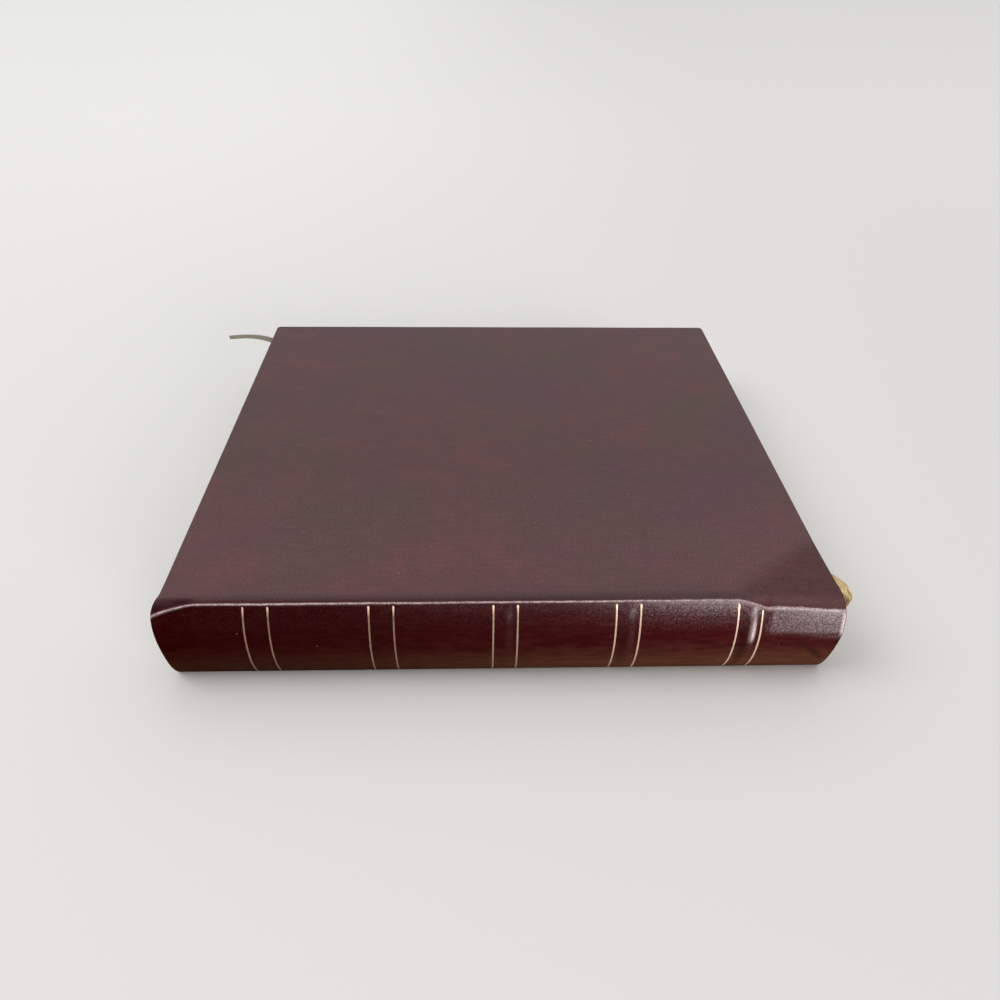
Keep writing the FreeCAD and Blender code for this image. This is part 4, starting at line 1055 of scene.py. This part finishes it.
# A headband: silk wound on a round core along the arc of the leaves' backs. The core's radius
# swells with each turn of thread, r = (r0 + a |sin|), rounded off at both ends. Its tape is a thin
# rectangle carried along the same arc, behind it.
def headband(name, end):
    sizes = headbandSizes
    rows, around = sizes["turns"] * sizes["rowsInTurn"] + 1, sizes["around"]
    share = np.linspace(0, 1, rows)[:, None]
    spin = np.linspace(0, 2 * math.pi, around + 1)[:-1][None, :]
    taper = np.sqrt(np.clip(1 - (2 * np.abs(share - 0.5)) ** 24, 0.0, 1))
    swell = sizes["thread"] * np.abs(np.sin(share * sizes["turns"] * math.pi))
    radius = (sizes["core"] + swell) * taper
    core = onArc(end * (sizes["along"] + radius * np.sin(spin)),
                 sizes["out"] + radius * np.cos(spin),
                 np.radians(sizes["reach"]) * (2 * share - 1)).reshape(-1, 3)
    colour = (np.floor(share * sizes["turns"]) % 2) + 0 * spin
    tapeAngle = np.radians(np.linspace(-1, 1, sizes["tapeRows"]) * sizes["tapeReach"])[:, None]
    tape = onArc(end * np.array(sizes["tapeAlong"]), np.array(sizes["tapeOut"]),
                 tapeAngle).reshape(-1, 3)
    tapeQuads = gridQuads(sizes["tapeRows"], 4, closeColumns=True)
    tapeEnds = np.arange(4)[None, :] + np.array([[0], [len(tape) - 4]])
    return makePiece(name, np.concatenate([core, tape]),
                     [gridQuads(rows, around, closeColumns=True), tapeQuads + len(core),
                      tapeEnds + len(core)], silkMaterial,
                     {"threadTurn": np.concatenate([colour.ravel(), np.zeros(len(tape))])},
                     closed=True)


for name, end, node in (("headBand", 1, "head_band"), ("tailBand", -1, "tail_band")):
    piece = headband(name, end)
    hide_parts(node)
    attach(piece, "text_block")


paperSizes = {
    "wave": 0.12,            # how far a flyleaf lies off the leaves
    "step": 0.10,            # how far a lining sinks past the turned-in hide
    "underTurnIn": 7.0,      # and how far in from its edge
    "tannedIn": 16.0,
    "columns": 90, "rows": 80,
    "jointFrom": -134.0, "jointBack": -143.3, "jointGlue": 0.03, "jointHalf": 153.0,
    "jointShort": 0.3, "jointThickness": 0.05, "jointColumns": 60,
}


# A sheet of endpaper over a node's own outline: level where it is glued, or waved a little off
# the leaves by a sum of sines. A pasted sheet shows the edge of the turned-in hide under it, as a
# step that runs round it a little way in.
def endpaperSheet(name, node, body, upper, pasted):
    low, high = cornersOf(node)
    x = np.linspace(low[0], high[0], paperSizes["columns"])[None, :]
    y = np.linspace(low[1], high[1], paperSizes["rows"])[:, None]
    fromEdge = np.minimum(np.minimum(x - low[0], high[0] - x), high[1] - y)
    if pasted:
        step = paperSizes["underTurnIn"]
        lift = -paperSizes["step"] * smooth(fromEdge, step - 1.2, step + 1.2)
    else:
        lift = paperSizes["wave"] * (0.5 + 0.5 * waves(x, y, [150.0, 97.0, 210.0], 81))
    # the side that shows looks away from the leaves on a flyleaf, and towards them on a lining
    showsUp = upper != pasted
    z = high[2] + lift if showsUp else low[2] - lift
    points = np.stack(np.broadcast_arrays(x, y, z), -1)
    quads = gridQuads(paperSizes["rows"], paperSizes["columns"])
    piece = makePiece(name, points, [quads if showsUp else quads[:, ::-1]], endpaperMaterial,
                      {"margin": smooth(fromEdge, paperSizes["tannedIn"], 0.0)})
    thicken(piece, high[2] - low[2])
    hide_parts(node)
    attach(piece, body)


endpaperSheet("upperFlyleaf", "upper_flyleaf", "text_block", True, False)
endpaperSheet("lowerFlyleaf", "lower_flyleaf", "text_block", False, False)
endpaperSheet("upperPastedown", "upper_pastedown", "upper_cover", True, True)
endpaperSheet("lowerPastedown", "lower_pastedown", "lower_cover", False, True)


# The joint of an endpaper: it leaves the flyleaf, turns at the spine, and goes in under the lining
# of the cover. Its section is a U lying on its side, and it narrows to the lining's width.
def jointPaper(name, side):
    flyleaf, lining = cornersOf(f"{side}_flyleaf"), cornersOf(f"{side}_pastedown")
    glue = paperSizes["jointGlue"]
    if side == "upper":
        near, far = flyleaf[1][2] + glue, lining[0][2] - glue
    else:
        near, far = flyleaf[0][2] - glue, lining[1][2] + glue
    bend = (far - near) / 2
    turn = np.linspace(-math.pi / 2, math.pi / 2, 14)
    flat = np.linspace(paperSizes["jointFrom"], paperSizes["jointBack"], 10)
    lineY = np.concatenate([flat[:-1], flat[-1] - abs(bend) * np.cos(turn), flat[::-1][1:]])
    lineZ = np.concatenate([np.full(9, near), near + bend + bend * np.sin(turn),
                            np.full(9, far)])
    # half its width, given at six of its rows: the flyleaf's, the fold's and the lining's
    wide, narrow, inside = flyleaf[1][0], paperSizes["jointHalf"], lining[1][0]
    halfX = np.interp(np.arange(lineY.size), [0, 5, 8, 24, 27, lineY.size - 1],
                      [wide, wide, narrow, narrow, inside, inside]) - paperSizes["jointShort"]
    columns = paperSizes["jointColumns"]
    x = halfX[:, None] * np.linspace(-1, 1, columns)[None, :]
    points = np.stack(np.broadcast_arrays(x, lineY[:, None], lineZ[:, None]), -1)
    quads = gridQuads(lineY.size, columns)
    quads = quads if side == "upper" else quads[:, ::-1]
    piece = makePiece(name, points, [quads], endpaperMaterial)
    thicken(piece, paperSizes["jointThickness"])
    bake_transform(piece)


jointPaper("upperJointPaper", "upper")
jointPaper("lowerJointPaper", "lower")

hollowSizes = {"halfLength": 151.0, "reach": 27.5, "underHide": 1.45, "outer": (39.9, 41.15),
               "edge": 39.63, "inner": 39.62, "rows": 60, "columns": 150, "thickness": 0.12}


# The paper hollow of the spine: a flat tube between the back lining and the hide, squeezed where
# the hide is pressed in. Its outer layer follows the hide at a depth, within two limits, and
# closes at both edges by a square root; its inner one has a fixed radius.
def spineHollow():
    sizes = hollowSizes
    x = np.linspace(-1, 1, sizes["columns"])[None, :] * sizes["halfLength"]
    share = np.linspace(-1, 1, sizes["rows"])[:, None]
    outer = spineRadius + spineRelief(x, sizes["reach"] * share) - sizes["underHide"]
    closing = np.clip((1 - np.abs(share)) * 8, 0, 1) ** 0.5
    outer = sizes["edge"] + (np.clip(outer, *sizes["outer"]) - sizes["edge"]) * closing
    radius = np.vstack([outer, np.full((sizes["rows"] - 2, x.size), sizes["inner"])])
    angle = np.radians(sizes["reach"] * np.vstack([share, share[::-1][1:-1]]))
    quads = gridQuads(radius.shape[0], x.size, closeRows=True)
    piece = makePiece("spineHollow", onArc(x, radius, angle), [quads], kraftMaterial,
                      merge=0.002)
    thicken(piece, sizes["thickness"])
    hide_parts("spine_hollow")
    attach(piece, "text_block")


spineHollow()

mullSizes = {"outer": 39.5, "reach": 27.3, "thickness": 0.4, "rows": 50, "columns": 120}


# The cloth glued over the leaves' backs: an arc of one radius and one thickness.
def mullLining():
    halfX = cornersOf("mull_lining")[1][0]
    angle = np.radians(np.linspace(-1, 1, mullSizes["rows"]) * mullSizes["reach"])[:, None]
    x = np.linspace(-halfX, halfX, mullSizes["columns"])[None, :]
    piece = makePiece("mullLining", onArc(x, mullSizes["outer"], angle),
                      [gridQuads(mullSizes["rows"], mullSizes["columns"])], mullMaterial)
    thicken(piece, mullSizes["thickness"])
    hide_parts("mull_lining")
    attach(piece, "text_block")


mullLining()
print("stage: leaves, linings and headbands made")


# The lean is how far the spine's curve has turned, in degrees, where the ribbon is glued in.
ribbonSizes = {
    "width": 6.4, "length": 0.5059, "lean": 19.96, "twistStart": 14.0, "twistEnd": 36.0,
    "woven": 0.985,          # share of the width that the threads fill
    "halfThickness": 0.11, "crown": 0.05, "acrossPoints": 13,
    "slantRun": 6.0, "slant": 1.1,
    "shadeFrom": 425.0, "shadeTo": 465.0, "paintedShade": 0.85,
}
ribbonPoints = [
    (152.0, -147.75, 37.65), (160.0, -147.75, 37.65), (165.8, -148.0, 37.75),
    (169.3, -145.6, 38.7), (172.0, -137.5, 40.8), (170.8, -129.3, 42.35),
    (163.5, -122.6, 42.65), (147.0, -111.95, 42.65), (119.0, -90.95, 42.65),
    (73.0, -50.95, 42.65), (8.0, 7.05, 42.65), (-58.0, 59.95, 42.65), (-111.0, 100.95, 42.65),
    (-144.0, 125.95, 42.65), (-162.0, 138.45, 42.65), (-174.0, 146.45, 42.5),
    (-184.0, 149.75, 42.1), (-194.0, 150.75, 41.5), (-203.0, 150.45, 40.7),
]


# The points along the ribbon's middle, read from a smooth spline through its route.
def splinePoints(name, route):
    curve = bpy.data.curves.new(name, "CURVE")
    curve.dimensions = "3D"
    curve.resolution_u = 14
    spline = curve.splines.new("NURBS")
    spline.points.add(len(route) - 1)
    for point, spot in zip(spline.points, route):
        point.co = (spot[0] * mm, spot[1] * mm, spot[2] * mm, 1.0)
    spline.order_u = 3
    spline.use_endpoint_u = True
    holder = bpy.data.objects.new(name, curve)
    line = bpy.data.meshes.new_from_object(holder)
    found = np.empty(len(line.vertices) * 3)
    line.vertices.foreach_get("co", found)
    bpy.data.objects.remove(holder)
    return found.reshape(-1, 3) / mm


# The same directions, each with the length 1.
def unit(vectors):
    return vectors / np.linalg.norm(vectors, axis=-1)[..., None]


# The ribbon: a flat section carried along the spline. It leaves the spine on edge, leaning with
# the spine's curve, and lies flat once it has turned in; its free end is cut on the slant.
def ribbonStrip():
    sizes = ribbonSizes
    middle = splinePoints("ribbonLine", ribbonPoints)
    step = np.linalg.norm(np.diff(middle, axis=0), axis=1)
    place = np.concatenate([[0], np.cumsum(step)])
    ahead = unit(np.gradient(middle, place, axis=0))
    lean = math.radians(sizes["lean"])
    onEdge = np.array([0, math.sin(lean), math.cos(lean)])
    flat = unit(np.stack([ahead[:, 1], -ahead[:, 0], 0 * place], -1))
    turn = smooth(place, sizes["twistStart"], sizes["twistEnd"])[:, None]
    across = onEdge * (1 - turn) + flat * turn
    across = unit(across - ahead * (across * ahead).sum(1)[:, None])
    up = np.cross(ahead, across)
    # the section: slightly crowned on both faces alike
    span = np.linspace(-1, 1, sizes["acrossPoints"])
    crown = sizes["crown"] * (1 - span ** 2)
    side = np.concatenate([span, span[::-1]])
    face = np.concatenate([crown + sizes["halfThickness"],
                           (crown - sizes["halfThickness"])[::-1]])
    half = sizes["width"] / 2 * sizes["woven"]
    slant = smooth(place, place[-1] - sizes["slantRun"], place[-1])[:, None] * (
        side[None, :] - 1) * sizes["slant"]
    points = (middle[:, None, :] + across[:, None, :] * (side * half)[None, :, None]
              + up[:, None, :] * face[None, :, None] + ahead[:, None, :] * slant[..., None])
    rows, columns = points.shape[:2]
    quads = gridQuads(rows, columns, closeColumns=True)
    caps = [np.arange(columns)[None, ::-1], np.arange(columns)[None, :] + (rows - 1) * columns]
    along, sideways = np.broadcast_arrays(place[:, None], (side * half)[None, :])
    # painted shade on the ribbon's free end
    paintedShade = sizes["paintedShade"] * smooth(along, sizes["shadeFrom"], sizes["shadeTo"])
    piece = makePiece("markerRibbon", points, [quads, *caps], ribbonMaterial,
                      {"alongRibbon": along, "paintedShade": paintedShade, "acrossRibbon": sideways},
                      closed=True)
    # the weave's own coordinates: metres along and across
    mesh = piece.data
    layer = mesh.uv_layers.new(name="ribbonPlace")
    corner = np.empty(len(mesh.loops), dtype=np.int64)
    mesh.loops.foreach_get("vertex_index", corner)
    uv = np.empty((2, len(mesh.vertices)))
    for row, key in zip(uv, ("alongRibbon", "acrossRibbon")):
        mesh.attributes[key].data.foreach_get("value", row)
    layer.data.foreach_set("uv", (uv[:, corner].T * mm).astype(np.float32).ravel())
    return piece, middle


ribbon, ribbonMiddle = ribbonStrip()
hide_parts("ribbon_marker")
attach(ribbon, "text_block")
print("stage: ribbon made")


# The floor, with painted light: a little darker towards the album's head and paler beyond it.
stageSizes = {"reach": 12.0, "level": -0.0002, "left": (0.815, 0.817, 0.803, 1.0),
              "right": (0.70, 0.70, 0.688, 1.0), "across": (-0.6, 0.6), "beyond": 1.11,
              "away": (-0.3, 1.2)}
floorMaterial, tree, shader = newMaterial("paleFloor", {
    "Roughness": 0.95, "Specular IOR Level": 0.1})
across, away, _ = axes(tree, objectPlace(tree))
floorColour = mixColour(tree, ramp(tree, across, *stageSizes["across"]), stageSizes["left"],
                        stageSizes["right"])
fill(tree, shader, {"Base Color": timesColour(
    tree, floorColour, ramp(tree, away, *stageSizes["away"], 1.0, stageSizes["beyond"]))})
reach, level = stageSizes["reach"], stageSizes["level"]
floorMesh = bpy.data.meshes.new("floor")
floorMesh.from_pydata([(-reach, -reach, level), (reach, -reach, level), (reach, reach, level),
                       (-reach, reach, level)], [], [(0, 1, 2, 3)])
floorMesh.materials.append(floorMaterial)
floor = bpy.data.objects.new("floor", floorMesh)
bpy.context.scene.collection.objects.link(floor)

# The room: pale behind and above the album, darker in front of it, with a pale backdrop all round.
roomSizes = {"behindLow": 0.52, "behindHigh": 1.08, "above": 0.86, "front": 0.08,
             "backdrop": 0.80, "colour": (1.0, 0.99, 0.985, 1.0),
             "behindRise": (0.35, 0.70), "aboveRise": (0.50, 0.78), "turn": (-0.25, 0.25)}
world = bpy.data.worlds.new("room")
bpy.context.scene.world = world
world.use_nodes = True
tree = world.node_tree
direction = tree.nodes.new("ShaderNodeTexCoord").outputs["Generated"]
_, towardsBack, upwards = axes(tree, direction)
behind = ramp(tree, upwards, *roomSizes["behindRise"], roomSizes["behindLow"],
              roomSizes["behindHigh"])
around = mixNumber(tree, ramp(tree, towardsBack, *roomSizes["turn"]), roomSizes["front"], behind)
strength = mixNumber(tree, ramp(tree, upwards, *roomSizes["aboveRise"]), around,
                     roomSizes["above"])
seen = tree.nodes.new("ShaderNodeLightPath").outputs["Is Camera Ray"]
fill(tree, tree.nodes["Background"], {
    "Color": roomSizes["colour"],
    "Strength": mixNumber(tree, seen, strength, roomSizes["backdrop"])})


# Adds an object at a place, with its own x, y and z axes along the three directions given.
def setUp(name, data, place, *ownAxes):
    turn = np.eye(4)
    turn[:3, :3] = np.stack(ownAxes, -1)
    turn[:3, 3] = place
    holder = bpy.data.objects.new(name, data)
    holder.matrix_world = Matrix(turn.tolist())
    bpy.context.scene.collection.objects.link(holder)
    return holder


# A lamp that shines from its place to its target.
def addLamp(name, kind, finish):
    lamp = bpy.data.lights.new(name, kind)
    lamp.energy = finish["power"]
    back = unit(np.array(finish["place"]) - np.array(finish["target"]))
    side = unit(np.cross([0.0, 0.0, 1.0], back))
    setUp(name, lamp, finish["place"], side, np.cross(back, side), back)
    return lamp


skylight = {"place": (-1.10, -0.03, 1.25), "target": (0.0, 0.0, 0.0), "power": 0.92,
            "spread": 40.0}
softPanels = {
    "windowPanel": {"place": (2.10, -3.40, 0.95), "target": (0.12, -0.15, 0.04),
                    "size": (1.7, 1.3), "power": 62.0, "colour": (1.0, 0.92, 0.94)},
    "frontPanel": {"place": (0.55, -3.90, 1.20), "target": (0.0, -0.15, 0.04),
                   "size": (2.2, 0.9), "power": 18.0, "colour": (1.0, 0.96, 0.97)},
}
addLamp("skylight", "SUN", skylight).angle = math.radians(skylight["spread"])
for name, panel in softPanels.items():
    lamp = addLamp(name, "AREA", panel)
    lamp.shape = "RECTANGLE"
    lamp.size, lamp.size_y = panel["size"]
    lamp.color = panel["colour"]

# The camera: degrees that it looks down, off to the side and over to one side.
cameraView = {"place": (-0.01419, -0.41935, 0.31802), "down": 37.411, "aside": 2.366,
              "roll": 1.188, "lens": 28.688}
lens = bpy.data.cameras.new("view")
lens.lens = cameraView["lens"]
lens.sensor_width = 36.0
lens.clip_start, lens.clip_end = 0.01, 50.0
down, aside, roll = [math.radians(cameraView[key]) for key in ("down", "aside", "roll")]
ahead = np.array([math.sin(aside) * math.cos(down), math.cos(aside) * math.cos(down),
                  -math.sin(down)])
side = np.array([math.cos(aside), -math.sin(aside), 0.0])
upright = np.cross(side, ahead)
bpy.context.scene.camera = setUp(
    "view", lens, cameraView["place"], math.cos(roll) * side + math.sin(roll) * upright,
    math.cos(roll) * upright - math.sin(roll) * side, -ahead)
bpy.context.scene.view_settings.view_transform = "Standard"
print("stage: floor, light and camera set")
